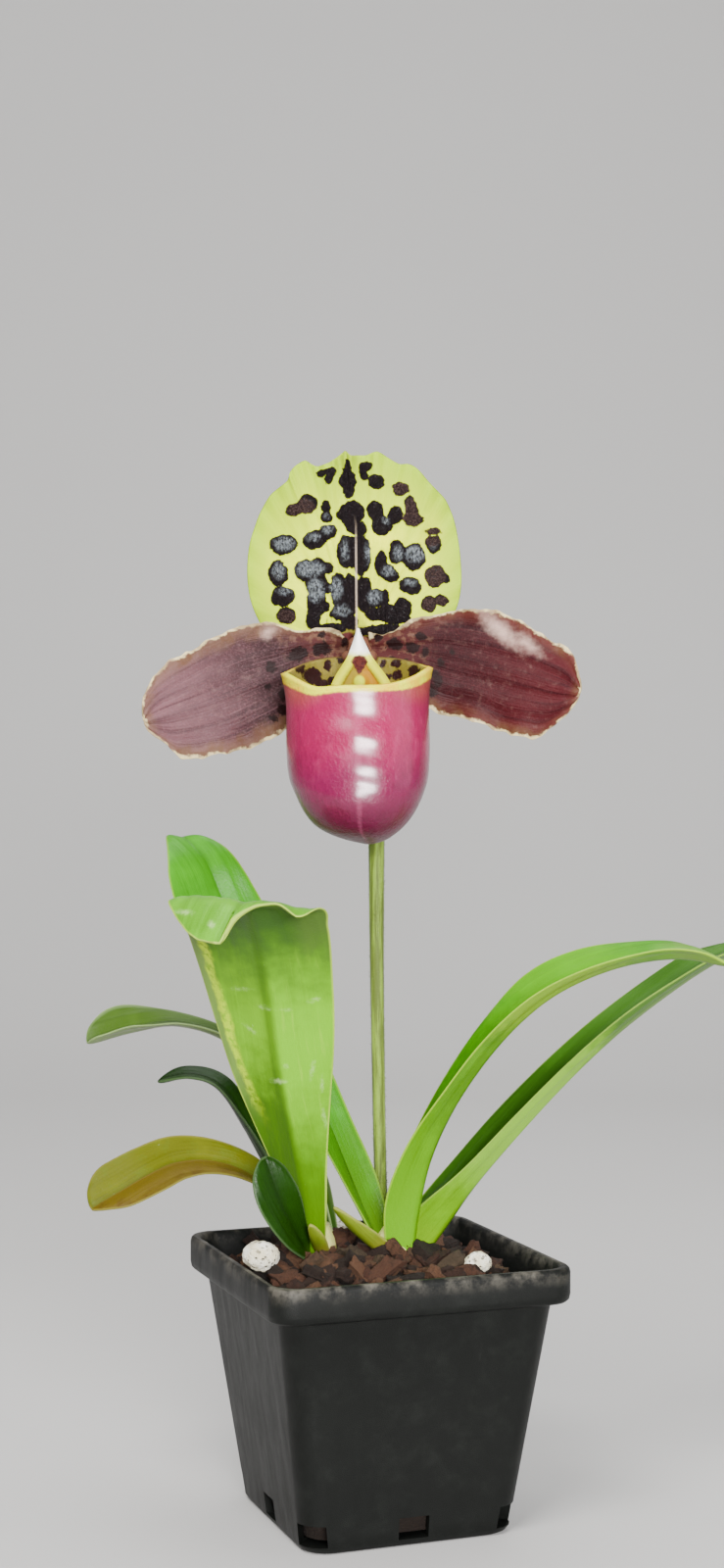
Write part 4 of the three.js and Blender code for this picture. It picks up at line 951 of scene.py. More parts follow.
def petal_push(seed):
    """Irregular scallops of the outline."""
    phase = random.Random(seed).uniform(0, 6)

    def push(t, side, width):
        wave = 0.42 * np.sin(TURN * (3.7 * t + 0.3 * np.sin(6 * t)) + phase + 0.8 * np.sign(side))
        wave = wave + 0.16 * np.sin(TURN * (8.3 * t + 0.3 * np.sin(9 * t)) + 3 * phase)
        wave = wave + 0.05 * np.sin(TURN * 21 * t + 2 * phase)
        return (np.sign(side) * side ** 4 * wave)[..., None] * np.array([0.0, 0.0, 1.0])

    return push


def make_petals():
    looks = {
        "petal_left": (
            (0.016, 0.004, 0.005), (0.105, 0.046, 0.054), (0.016, 0.004, 0.006),
            (0.14, 0.075, 0.045), 3.8),
        "petal_right": (
            (0.016, 0.001, 0.002), (0.042, 0.004, 0.006), (0.008, 0.0, 0.001),
            (0.085, 0.022, 0.015), 2.2),
    }
    skins = {name: petal_material(name, *look) for name, look in looks.items()}
    for name, ruffle_seed, outline_seed in (("petal_left", 3, 5), ("petal_right", 8, 2)):
        make_blade(name, skins[name], "petal", 170, 60, (0.9, 0.4), petal_detail(ruffle_seed),
                   PETAL_SPOTS, petal_push(outline_seed), PETAL_PAINTED_SHEEN)
    green = leaf_material("synsepal", (0.62, 0.70, 0.28), (0.56, 0.64, 0.25), (0.60, 0.62, 0.25),
                          (0.72, 0.76, 0.40), 0.2, 0.45)
    make_blade("synsepal", green, "sepal_pale", 90, 40, (0.9, 0.4), rib_groove)
    husk = leaf_material("bract", (0.30, 0.33, 0.10), (0.34, 0.30, 0.11), (0.36, 0.30, 0.12),
                         (0.45, 0.42, 0.2), 0.3, 0.55)
    make_blade("bract", husk, "stalk", 60, 28, (0.8, 0.35), rib_groove)


POUCH_SECTIONS = np.array([
    # z, centre x, centre y, half width, half depth
    (109.7, -0.9, -20.6, 0.6, 0.5),
    (110.3, -1.3, -20.7, 2.9, 2.6),
    (111.2, -1.9, -21.2, 4.9, 4.9),
    (112.6, -2.3, -21.4, 6.9, 7.1),
    (114.6, -2.4, -21.3, 8.5, 8.95),
    (117.2, -2.4, -20.85, 9.8, 10.15),
    (120.2, -2.5, -20.1, 10.8, 10.7),
    (125.0, -2.6, -19.15, 11.15, 11.05),
    (131.0, -2.7, -17.9, 11.1, 11.3),
    (136.0, -2.8, -17.2, 11.4, 11.5),
    (141.0, -2.8, -16.6, 11.6, 11.8),
])
POUCH_RIM_FRONT = 133.7
POUCH_RIM_EARS = (137.1, 136.2)  # right, left
POUCH_RIM_BACK = 139.2
POUCH_RIM_SWEEP = 3
POUCH_WALL = 0.9
POUCH_SHADED = 26.5  # millimetres above the toe over which its colours change
POUCH_KEEL = 0.10
POUCH_SWELL = 0.06
POUCH_GRAIN = 0.018
POUCH_FOLD = dict(depth=0.095, level=125.2, spacing=5.3)  # cross folds of its front

# Dark spots of the pouch's inner back wall: x, z.
MOUTH_SPOTS = [
    (-9.8, 136.2, 1.5, 1.5), (-8.4, 134.8, 1.2, 0.9), (-7.4, 138.0, 0.9, 0.9),
    (-6.9, 135.4, 0.8, 0.9), (-12.0, 137.4, 0.9, 0.9), (3.6, 138.2, 0.9, 0.8),
    (3.8, 136.5, 1.0, 0.8), (6.2, 137.0, 1.1, 0.9), (2.2, 136.2, 0.8, 0.6), (1.2, 138.2, 0.8, 0.7),
    (-5.4, 138.8, 0.8, 0.6), (-4.6, 136.6, 0.7, 0.8), (7.8, 135.4, 0.8, 1.0),
    (4.8, 135.0, 0.8, 0.6), (-0.2, 136.4, 0.7, 0.7),
]


def pouch_material():
    pouch = Graph("pouch", Coat_Roughness=0.22, Subsurface_Weight=0.08, Subsurface_Scale=0.001,
                  Subsurface_Radius=(1.0, 0.2, 0.4), Specular_IOR_Level=0.15)
    height, below, inner = pouch.fields("shape")
    field, sideways, front = pouch.fields("marks")
    cloud = pouch.noise(0.17, 4.0, 0.6)
    fine = pouch.noise(1.6, 4.0, 0.6)
    streaks = pouch.noise(1.0, 4.0, 0.65, pull=(0.55, 0.55, 0.30))
    pouch.colour = pouch.ramp(height + (cloud - 0.5) * 0.3, [
        (0.0, (0.050, 0.002, 0.013)), (0.16, (0.085, 0.003, 0.024)), (0.36, (0.13, 0.003, 0.036)),
        (0.58, (0.21, 0.004, 0.046)), (0.8, (0.225, 0.006, 0.050)), (1.0, (0.21, 0.015, 0.037))])
    pouch.paint((0.32, 0.034, 0.10), 0.4 * streaks.step(0.46, 0.74) * height.step(0.2, 0.6))
    pouch.paint((0.045, 0.002, 0.012), 0.6 * cloud.step(0.50, 0.70) * height.step(0.75, 0.35))
    pouch.paint((0.5, 0.12, 0.22), 0.12 * sideways.step(0.07, 0.01) * front)
    away = sideways.step(0.3, 0.97)
    blush = (below - away * 4.4 + cloud * 2.5).step(3.0, -1.5)
    pouch.paint((0.30, 0.060, 0.030), 0.65 * blush)
    rim = (below - away * 0.8 + fine * 0.5).step(1.3, 0.8)
    gold = pouch.mix(cloud.step(0.42, 0.62), (0.60, 0.60, 0.002), (0.62, 0.42, 0.002))
    behind = front.step(0.02, 0.0) * sideways.step(0.97, 0.86)
    pouch.paint(pouch.mix(0.95 * behind, gold, (0.08, 0.045, 0.02)), rim)
    # The inner wall's own yellow with dark spots, darkened as painted shade inside the mouth.
    lining = pouch.mix(cloud.step(0.4, 0.7), (0.12, 0.095, 0.012), (0.20, 0.165, 0.035))
    ragged = field + pouch.wobble(1.6, 0.7) + (fine - 0.5) * 0.6
    lining = pouch.mix(ragged.step(-0.05, 0.2), lining, (0.014, 0.004, 0.004))
    lined = inner.step(0.4, 0.9)
    pouch.paint(lining, lined)
    glaze = height.step(0.05, 0.4) * 0.8 + 0.2
    dry = pouch.math("MAXIMUM", rim, lined) * 0.85
    pouch.feed(pouch.shader["Coat Weight"], glaze * (1.0 - dry))
    return pouch.finish(fine * 0.18 + 0.24, streaks * 0.9 + fine * 1.1, 0.00035, 0.5)


def pouch_rim(angle):
    """The height of the rim, which rises to an ear on each side."""
    sweep = np.abs(np.cos(angle)) ** POUCH_RIM_SWEEP
    end = np.where(np.sin(angle) > 0, POUCH_RIM_BACK, POUCH_RIM_FRONT)
    ear = np.where(np.cos(angle) > 0, *POUCH_RIM_EARS)
    dip = 0.6 * bell(np.cos(angle) + 0.58, 0.22) * (np.sin(angle) < 0)
    return end + (ear - end) * sweep - dip


def make_pouch():
    """An outer and an inner skin of rings from the toe up to the rim, joined over the lip."""
    sides = 200
    angle = np.linspace(0, TURN, sides, endpoint=False)
    front = np.maximum(-np.sin(angle), 0)
    from_middle = (angle - 1.5 * math.pi + math.pi) % TURN - math.pi
    toe = POUCH_SECTIONS[0, 0]
    rim = pouch_rim(angle)
    sections = along(POUCH_SECTIONS, np.linspace(0, 1, 600))

    def ring(share, wall, lift=0.0):
        level = toe + (rim - toe) * share
        x, y, rx, ry = [np.interp(level, sections[:, 0], sections[:, k]) for k in range(1, 5)]
        flare = (0.2 if wall else 0.45) * share ** 14
        bulge = math.sin(math.pi * share)
        keel = POUCH_KEEL * np.exp(-np.sqrt(from_middle ** 2 + 0.004) / 0.5) * bulge ** 0.5
        folds = level - POUCH_FOLD["level"] + 0.5 * np.sin(2.5 * from_middle)
        dents = POUCH_FOLD["depth"] * front ** 4 * np.sin(folds * TURN / POUCH_FOLD["spacing"])
        dents = dents + POUCH_SWELL * np.sin(3.0 * angle + 0.35 * level) * bulge
        fine = np.sin(11 * angle + 1.3 * level) * np.sin(1.9 * level - 4 * angle)
        dents = dents + POUCH_GRAIN * fine * bulge
        rx, ry = [np.maximum(reach - wall, 0.3) + flare for reach in (rx, ry)]
        swell = (keel + dents) * min(share * 6, 1)
        points = np.stack([
            x + (rx + swell * 0.5) * np.cos(angle), y + (ry + swell) * np.sin(angle),
            level + wall * (1 - share) ** 6 * 1.15 + lift,
        ], axis=-1)
        return points, level

    shares = np.concatenate([[0], np.linspace(0.05, 1, 110) ** 1.6])
    steps = [(ring(share, 0.0), 0.0) for share in shares]
    steps.append((ring(1.0, POUCH_WALL / 2, 0.3), 0.3))
    steps += [(ring(share, POUCH_WALL), 1.0) for share in shares[::-1]]
    levels = np.array([level for (_, level), _ in steps])
    inner = np.array([np.full(sides, inside) for _, inside in steps])
    points, faces = closed_rings(np.array([points for (points, _), _ in steps]))

    def per_point(values):
        values = np.broadcast_to(values, levels.shape)
        return np.concatenate([values.ravel(), values[:1].mean(1), values[-1:].mean(1)])

    piece = make_piece("pouch_shell", points, faces, pouch_material(), {
        "shape": (
            per_point((levels - toe) / POUCH_SHADED), per_point(rim - levels), per_point(inner),
        ),
        "marks": (
            blotches(points[:, 0], points[:, 2], MOUTH_SPOTS),
            per_point(np.abs(np.cos(angle))), per_point((np.sin(angle) < 0).astype(float)),
        ),
    })
    stand_for(piece, "pouch")


# The shield in front of the column: half widths from its tip down, and its top and bottom.
SHIELD_HALVES = [0.06, 0.45, 0.95, 1.55, 2.6, 3.7, 4.6]
SHIELD_PATCH = 138.2  # height of the dark patch's middle
SHIELD_TOP = 143.7
SHIELD_BOTTOM = 134.4
SHIELD_FORWARD = 9.4  # how far it stands in front of the receptacle


def column_material():
    column = Graph("column", Specular_IOR_Level=0.08)
    down, _, is_shield = column.fields("shape")
    sideways, up, edge = column.fields("size")
    fine = column.noise(2.5, 4.0, 0.6)
    wobble = fine - 0.5
    level = down + wobble * 0.08
    column.colour = column.ramp(level, [
        (0.0, (0.90, 0.84, 0.78)), (0.1, (0.97, 0.95, 0.93)), (0.40, (0.97, 0.95, 0.90)),
        (0.50, (0.66, 0.66, 0.05)), (0.62, (0.45, 0.47, 0.0)), (1.0, (0.45, 0.44, 0.0))])
    hollow = (edge + wobble * 0.5).step(0.75, 1.15) * level.step(0.46, 0.56)
    amber = column.mix(sideways.step(-0.6, 0.9), (0.20, 0.14, 0.005), (0.28, 0.125, 0.001))
    column.paint(amber, hollow)
    below = column.math("MAXIMUM", up * -1.0, 0.0) * 0.62
    upright = below + column.math("MAXIMUM", up, 0.0)
    crown = column.join(sideways * (below + 0.85), upright)
    reach = column.node("VectorMath", {0: crown}, "Value", operation="LENGTH")
    blood = column.mix(fine.step(0.4, 0.62), (0.045, 0.008, 0.008), (0.085, 0.018, 0.013))
    column.paint(blood, (reach + wobble * 0.6).step(1.3, 0.95))
    boss_z = (up + 3.0) * 0.9
    boss = sideways * sideways + boss_z * boss_z
    column.paint((0.40, 0.44, 0.0), boss.step(1.1, 0.35))
    behind = column.mix(fine, (0.07, 0.020, 0.015), (0.15, 0.070, 0.04))
    column.colour = column.mix(is_shield, behind, column.colour)
    return column.finish(0.5, fine, 0.0002, 0.4)


def ball(centre, radii, levels, sides):
    """Points and faces of a rounded body."""
    pitch = np.linspace(-math.pi / 2, math.pi / 2, levels + 2)[1:-1, None]
    angle = np.linspace(0, TURN, sides, endpoint=False)[None, :]
    rings = np.stack([
        centre[0] + radii[0] * np.cos(pitch) * np.cos(angle),
        centre[1] + radii[1] * np.cos(pitch) * np.sin(angle),
        centre[2] + radii[2] * np.sin(pitch) + 0 * angle,
    ], axis=-1)
    return closed_rings(rings)


def make_column():
    """Receptacle, column rod, anthers and the shield in front, as one grown piece."""
    x, y, z = RECEPTACLE
    parts = [ball(RECEPTACLE, (RECEPTACLE_RADIUS,) * 3, 24, 36)]
    t = np.linspace(0, 1, 24)
    rod = along([(x, y, z), (x, y - 4, z), (x + 0.1, y - 10.2, z - 1.2)], t)
    parts.append(ring_tube(rod, along([1.7, 1.4, 0.8], t), 24))
    for side in (-1, 1):
        parts.append(ball((x + side * 1.9, y - 5.5, z - 1.2), (1.0, 1.2, 1.0), 14, 20))
    side = np.sin(np.linspace(-1, 1, 61) * math.pi / 2)
    u, side = np.meshgrid(np.linspace(0, 1, 80), side, indexing="ij")
    half = along(SHIELD_HALVES, u)
    dome = 1.0 * (1 - side ** 2) * np.sin(math.pi * np.minimum(u * 0.9 + 0.1, 1))
    opened = rise(u, 0.42, 0.72)
    edge = (1 - np.abs(side)) * half
    arms = 0.6 * bell(edge - 0.6, 0.5) * opened
    basin = 0.55 * np.exp(-((side / 0.7) ** 4)) * opened
    boss = 0.9 * bell(side * half, 0.9) * bell(u - 0.93, 0.11)
    cone = 0.6 * bell(side * half, 0.7) * np.clip(1.1 - 1.9 * u, 0, 1)
    middle = np.stack([
        x - 0.25 + 0.55 * u + side * half,
        y - SHIELD_FORWARD - dome - 1.2 * u - arms - boss - cone + basin,
        SHIELD_TOP + (SHIELD_BOTTOM - SHIELD_TOP) * u,
    ], axis=-1)
    body = 0.35 + 0.65 * rise(half, 0.2, 1.4)
    *sheet, _, source = pillow(middle, body, flip=False)
    points, faces = joined([*parts, sheet])

    def on_shield(values):
        """Values of the shield's grid for every point of the piece, 0 off the shield."""
        return np.append(np.zeros(len(points) - len(source)), values.ravel()[source])

    piece = make_piece("column_and_shield", points, faces, column_material(), {
        "shape": (on_shield(u), on_shield(side), on_shield(np.ones_like(u))),
        "size": (points[:, 0] - x, points[:, 2] - SHIELD_PATCH, on_shield(edge)),
    })
    stand_for(piece, "column")


# ------------------------------------------------------------------ stalks

# Each stalk's line and the radii along it, how finely it is cut, how deep its six ribs are as a
# share of the radius, its hairs and its two colours.
STALKS = {
    "scape": dict(
        line=[(1.5, 3.0, 43.5), (1.0, 3.8, 56), (0.5, 4.0, 86.5), (0.4, 5.0, 110.5)],
        radii=[1.05, 1.05, 1.15, 1.35], rings=160, sides=28, ribs=0.0,
        hairs=2600, hair_length=0.42, seed=4, light=(0.16, 0.25, 0.025), dark=(0.070, 0.10, 0.012),
    ),
    "ovary": dict(
        line=[(0.4, 5.1, 110.8), (0.1, 6.6, 118), (-0.8, 7.6, 126), (-1.8, 6.6, 134),
              (-2.4, 2.9, 139.4)],
        radii=[1.4, 1.9, 2.1, 1.9, 1.5], rings=90, sides=48, ribs=0.07,
        hairs=1800, hair_length=0.5, seed=9, light=(0.26, 0.26, 0.075), dark=(0.10, 0.045, 0.03),
    ),
}
HAIR_HALF_WIDTH = 0.035


def stalk_material(name, light, dark):
    stalk = Graph(name, Sheen_Weight=0.15, Sheen_Roughness=0.4, Specular_IOR_Level=0.2)
    streaks = stalk.noise(1.0, 3.0, 0.6, pull=(1.6, 1.6, 0.1))
    fine = stalk.noise(3.0, 4.0, 0.65)
    stalk.colour = stalk.mix(streaks.step(0.4, 0.62), dark, light)
    stalk.paint(dark, 0.5 * fine.step(0.5, 0.75))
    return stalk.finish(0.55, streaks + fine * 0.6, 0.0003, 0.6)


def hairs_on(line, radii, count, length, seed):
    """Short three-sided hairs standing out from a stalk."""
    draw = random.Random(seed)
    t, angle, sizes = [
        np.array([draw.uniform(*span) for _ in range(count)])
        for span in ((0.01, 0.99), (0, TURN), (0.6, 1.1))
    ]
    tangent = unit(along(line, np.minimum(t + 0.01, 1)) - along(line, np.maximum(t - 0.01, 0)))
    across = unit(np.array([1.0, 0, 0]) - tangent * tangent[:, :1])
    out = across * np.cos(angle)[:, None] + np.cross(tangent, across) * np.sin(angle)[:, None]
    sideways = np.cross(tangent, out)
    foot = along(line, t) + out * (along(radii, t)[:, None] * 0.96)
    tip = foot + unit(out + 0.35 * tangent) * (sizes * length)[:, None]
    corners = [
        foot + HAIR_HALF_WIDTH * (sideways * math.cos(turn) + tangent * math.sin(turn))
        for turn in (0, TURN / 3, 2 * TURN / 3)
    ]
    points = np.stack([*corners, tip], axis=1).reshape(-1, 3)
    sides = np.array([[0, 1, 3], [1, 2, 3], [2, 0, 3], [2, 1, 0]])
    faces = (4 * np.arange(count)[:, None, None] + sides).reshape(-1, 3).tolist()
    return points, faces


def make_stalks():
    for name, stalk in STALKS.items():
        line, radii = stalk["line"], stalk["radii"]
        t = np.linspace(0, 1, stalk["rings"])
        reach = 1 + stalk["ribs"] * np.cos(6 * np.linspace(0, TURN, stalk["sides"], endpoint=False))
        tube = ring_tube(along(line, t), along(radii, t), stalk["sides"], reach)
        hairs = hairs_on(line, radii, stalk["hairs"], stalk["hair_length"], stalk["seed"])
        skin = stalk_material(name, stalk["light"], stalk["dark"])
        stand_for(make_piece(name + "_stalk", *joined([tube, hairs]), skin), name)


# ------------------------------------------------------------------ pot, mix and growths

POT_TURN = math.radians(20)
POT_HEIGHT = 43.0
POT_BASE_SIDE = 35.0
POT_BODY_SIDE = 47.0
POT_RIM_SIDE = 50.0
POT_RIM_BAND = 6.0
POT_RIM_FOOT = POT_HEIGHT - POT_RIM_BAND
POT_WALL = 1.2
POT_FLOOR = 1.6
POT_CORNER = 4.0
DRAIN_HOLES = 8
DRAIN_SIZE = (12, 5, 3.5)
DRAIN_MIDDLE = 2.95
DRAIN_CORNER_REACH = 1.22  # a corner hole's distance, in half base sides
MIX_EDGE = 39.0
MIX_MOUND = 5.0
MIX_SINK = 1.4  # how far the fine mix lies below the chips' level
CLEAR = 0.3  # gap between the mix and the pot


def with_pot(x, y):
    """A place in the pot's own square, turned with the pot."""
    cosine, sine = math.cos(POT_TURN), math.sin(POT_TURN)
    return x * cosine - y * sine, x * sine + y * cosine


def square_ring(side, z, steps=12, straight=8):
    """A square with rounded corners, turned with the pot."""
    inner = side / 2 - POT_CORNER

    def on_arc(quarter, share):
        middle = math.pi / 4 + quarter * math.pi / 2
        angle = middle + (share - 0.5) * math.pi / 2
        return np.array([
            math.copysign(inner, way(middle)) + POT_CORNER * way(angle)
            for way in (math.cos, math.sin)
        ])

    points = []
    for quarter in range(4):
        points += [on_arc(quarter, k / steps) for k in range(steps + 1)]
        start, end = points[-1], on_arc(quarter + 1, 0)
        points += [start + (end - start) * k / straight for k in range(1, straight)]
    x, y = with_pot(*np.array(points).T)
    return np.stack([x, y, np.full(len(x), float(z))], axis=-1)


def body_side(z):
    return POT_BASE_SIDE + (POT_BODY_SIDE - POT_BASE_SIDE) * z / POT_HEIGHT


def pot_material():
    pot = Graph("pot_plastic", Specular_IOR_Level=0.14)
    scuffs = pot.noise(1.0, 5.0, 0.7, pull=(0.5, 0.5, 0.08))
    grain = pot.noise(6.0, 3.0, 0.6)
    mottle = pot.noise(0.25, 5.0, 0.7)
    _, _, z = pot.split(pot.place)
    pot.colour = pot.mix(mottle.step(0.45, 0.85), (0.003, 0.0035, 0.003), (0.007, 0.008, 0.007))
    pot.paint((0.022, 0.023, 0.022), 0.3 * scuffs.step(0.64, 0.82))
    # Lighter in patches towards the top of the rim.
    pot.paint((0.12, 0.11, 0.09), 0.6 * z.step(40.0, 43.2) * mottle.step(0.4, 0.7))
    return pot.finish(scuffs * 0.3 + 0.32, grain, 0.00015, 0.35)


def cut_drain(pot, k):
    """Cuts one drain hole: even ones in the middle of a wall, odd ones at a corner."""
    angle = POT_TURN + k * math.pi / 4
    reach = (POT_BASE_SIDE / 2) * (DRAIN_CORNER_REACH if k % 2 else 1) * MM
    bpy.ops.mesh.primitive_cube_add(
        size=1, location=(reach * math.cos(angle), reach * math.sin(angle), DRAIN_MIDDLE * MM))
    hole = bpy.context.object
    hole.scale = [size * MM for size in DRAIN_SIZE]
    hole.rotation_euler = (0, 0, angle)
    cut = pot.modifiers.new("drain", "BOOLEAN")
    cut.object = hole
    cut.operation = "DIFFERENCE"
    cut.solver = "EXACT"
    bpy.context.view_layer.objects.active = pot
    bpy.ops.object.modifier_apply(modifier=cut.name)
    bpy.data.objects.remove(hole)


def make_pot():
    foot, rim = POT_RIM_FOOT, POT_RIM_SIDE
    wall = 2 * POT_WALL
    profile = [
        # side, z of each level, from the foot up the outside and down the inside
        (POT_BASE_SIDE - 5, 0.0), (POT_BASE_SIDE - 1.6, 0.0), (POT_BASE_SIDE - 0.5, 0.35),
        (body_side(1), 1.0), (body_side(3), 3.0), (body_side(20), 20.0),
        (body_side(foot) - 0.1, foot - 0.4), (body_side(foot) + 0.3, foot),
        (rim - 1.0, foot + 0.5), (rim - 0.3, foot + 0.9), (rim, foot + 1.8),
        (rim, POT_HEIGHT - 0.9), (rim - 0.25, POT_HEIGHT - 0.3), (rim - 0.8, POT_HEIGHT),
        (rim - wall + 0.3, POT_HEIGHT), (rim - wall - 0.3, POT_HEIGHT - 0.3),
        (rim - wall - 0.6, POT_HEIGHT - 1.0), (body_side(foot) - wall, foot - 0.5),
        (body_side(20) - wall, 20.0), (body_side(POT_FLOOR) - wall, POT_FLOOR),
        (POT_BASE_SIDE - 8, POT_FLOOR),
    ]
    rings = np.array([square_ring(side, z) for side, z in profile])
    piece = make_piece("pot_shell", *closed_rings(rings), pot_material())
    for k in range(DRAIN_HOLES):
        cut_drain(piece, k)
    piece.data.set_sharp_from_angle(angle=math.radians(40))
    stand_for(piece, "pot")


def mix_height(x, y):
    distance = np.minimum(np.hypot(x + 2, y) / (POT_RIM_SIDE / 2), 1)
    return MIX_EDGE + MIX_MOUND * (1 - distance ** 2)


def bark_material():
    bark = Graph("bark", Specular_IOR_Level=0.3)
    shade, _, _ = bark.fields("shade")
    fibres = bark.noise(1.0, 6.0, 0.75, pull=(0.9, 0.9, 0.9), distortion=0.6)
    fine = bark.noise(3.5, 5.0, 0.7)
    # The bark's own browns, darkened overall as painted shade inside the pot.
    bark.colour = bark.ramp(shade, [
        (0.0, (0.007, 0.004, 0.002)), (0.35, (0.020, 0.008, 0.004)), (0.6, (0.050, 0.017, 0.008)),
        (0.8, (0.090, 0.040, 0.018)), (1.0, (0.045, 0.030, 0.016))])
    bark.paint((0.010, 0.005, 0.003), 0.75 * fibres.step(0.5, 0.72))
    bark.paint((0.16, 0.085, 0.042), 0.35 * fine.step(0.62, 0.8))
    return bark.finish(0.82, fibres + fine * 0.5, 0.0012, 1.0)


def cube_grid(cuts):
    """Points and faces of a cube from -1 to 1 with each side cut into squares."""
    grid = np.linspace(-1, 1, cuts + 1)
    index, faces = {}, []
    for axis, end, a, b in itertools.product(range(3), (-1.0, 1.0), range(cuts), range(cuts)):
        quad = []
        for i, j in ((a, b), (a + 1, b), (a + 1, b + 1), (a, b + 1)):
            point = tuple(np.roll((end, grid[i], grid[j]), axis))
            quad.append(index.setdefault(point, len(index)))
        faces.append(quad if end > 0 else quad[::-1])
    return np.array(list(index)), faces


def crossed_waves(points, draw, waves):
    """A sum of waves with drawn phases, each a height, a factor and an axis for its sine, and
    the same with a function for what crosses it."""
    phase = iter([draw.uniform(0, 6.3) for _ in range(2 * len(waves))])
    return sum(
        height * np.sin(first * points[:, i] + next(phase))
        * function(second * points[:, j] + next(phase))
        for height, first, i, function, second, j in waves
    )


def rotation(axis, angle):
    """The matrix of a turn round one axis."""
    a, b = (axis + 1) % 3, (axis + 2) % 3
    matrix = np.eye(3)
    matrix[a, a] = matrix[b, b] = math.cos(angle)
    matrix[b, a], matrix[a, b] = math.sin(angle), -math.sin(angle)
    return matrix


CHIP_WAVES = [
    (0.12, 3.1, 0, np.cos, 2.7, 1), (0.10, 5.3, 1, np.cos, 4.1, 2), (0.07, 9.7, 0, np.sin, 8.3, 1),
]


def rough_chip(draw, box, size, place, tilt=0.9):
    """One flake of bark: a cut box, rounded a little, its faces pushed in and out."""
    cloud = box * 0.72 + unit(box) * 1.25 * 0.28
    wave = crossed_waves(cloud, draw, CHIP_WAVES)
    rough = np.array([draw.uniform(-0.06, 0.06) for _ in range(len(cloud))])
    cloud = cloud * (1 + wave + rough)[:, None]
    skew = draw.uniform(-0.3, 0.3)
    cloud[:, 0] = cloud[:, 0] * (1 + skew * cloud[:, 1])
    limits = (-tilt, tilt), (-tilt, tilt), (0, math.pi)
    turn_x, turn_y, turn_z = [rotation(k, draw.uniform(*span)) for k, span in enumerate(limits)]
    return (cloud * np.array(size) / 2) @ (turn_z @ turn_y @ turn_x).T + np.array(place)


CHIPS = 400
BIG_CHIPS = 90
# Length, width and thickness of a big chip, each with the smallest and largest share of it.
CHIP_SIZE = ((6.2, 0.6, 1.15), (3.9, 0.6, 1.2), (2.0, 0.7, 1.3))
SMALL_SHARES = (0.3, 0.6)
MIX_CORNERS = dict(steps=6, straight=4)


def make_mix():
    draw = random.Random(21)
    gap = 2 * (POT_WALL + CLEAR)
    mouth = body_side(POT_RIM_FOOT) - gap
    rings = [
        square_ring(body_side(POT_FLOOR) - gap, POT_FLOOR + CLEAR, **MIX_CORNERS),
        square_ring(mouth, POT_RIM_FOOT - 0.5, **MIX_CORNERS),
    ]
    edge = square_ring(mouth + 1.2, MIX_EDGE, **MIX_CORNERS)
    for share in np.linspace(1, 0.04, 26):
        ring = edge.copy()
        ring[:, :2] *= share
        ring[:, 2] = mix_height(ring[:, 0], ring[:, 1]) - MIX_SINK
        ring[:, 2] += np.array([draw.uniform(-0.5, 0.5) for _ in range(len(ring))]) * (share < 0.99)
        rings.append(ring)
    parts = [closed_rings(np.array(rings))]
    shades = [np.full(len(parts[0][0]), 0.1)]
    box, box_faces = cube_grid(6)
    for k in range(CHIPS):
        size = [full * draw.uniform(*shares) for full, *shares in CHIP_SIZE]
        if k >= BIG_CHIPS:
            size = [value * draw.uniform(*SMALL_SHARES) for value in size]
        limit = mouth / 2 - 1.0 - max(size) * 0.4
        x, y = with_pot(limit * draw.uniform(-1, 1), limit * draw.uniform(-1, 1))
        z = float(mix_height(x, y)) - 0.9 + draw.uniform(-0.4, 0.5)
        parts.append((rough_chip(draw, box, size, (x, y, z)), box_faces))
        shades.append(np.full(len(box), draw.uniform(0.05, 1.0)))
    shade = np.concatenate(shades)
    piece = make_piece("bark_mix_chips", *joined(parts), bark_material(), {"shade": (shade,) * 3})
    piece.data.set_sharp_from_angle(angle=math.radians(50))
    stand_for(piece, "bark_mix")


# Middle, half sizes and seed of each stone.
STONES = {
    "pumice_front": ((-18.0, -11.5, 44.3), (3.1, 2.6, 2.5), 5),
    "pumice_right": ((16.5, -8.5, 42.6), (2.4, 2.0, 1.8), 8),
    "pumice_back": ((-6.5, 17.5, 42.8), (2.6, 2.1, 1.9), 13),
}
STONE_WAVES = [
    (0.05, 3, 0, np.cos, 4, 1), (0.03, 8, 1, np.cos, 7, 2), (0.02, 17, 2, np.sin, 15, 0),
]


def pumice_material():
    pumice = Graph("pumice", Specular_IOR_Level=0.3)
    pits = pumice.node("TexVoronoi", {"Vector": pumice.place, "Scale": 1.3}, "Distance")
    fine = pumice.noise(2.0, 5.0, 0.7)
    broad = pumice.noise(0.5)
    pumice.colour = pumice.mix(broad.step(0.35, 0.7), (0.66, 0.60, 0.42), (0.80, 0.78, 0.68))
    # Painted shade: darker in the pits.
    pumice.paint((0.26, 0.21, 0.13), 0.6 * pits.step(0.32, 0.12))
    return pumice.finish(0.85, pits.step(0.1, 0.4) + fine * 0.6, 0.0008, 1.0)


def make_stones():
    stone = pumice_material()
    levels, sides = 38, 56
    way = ball((0, 0, 0), (1, 1, 1), levels, sides)[0][:-2]  # without its two end points
    for name, (centre, half, seed) in STONES.items():
        bump = 0.95 + crossed_waves(way, random.Random(seed), STONE_WAVES)
        rings = np.array(centre) + way * np.array(half) * bump[:, None]
        skin = closed_rings(rings.reshape(levels, sides, 3))
        stand_for(make_piece(name + "_stone", *skin, stone), name)


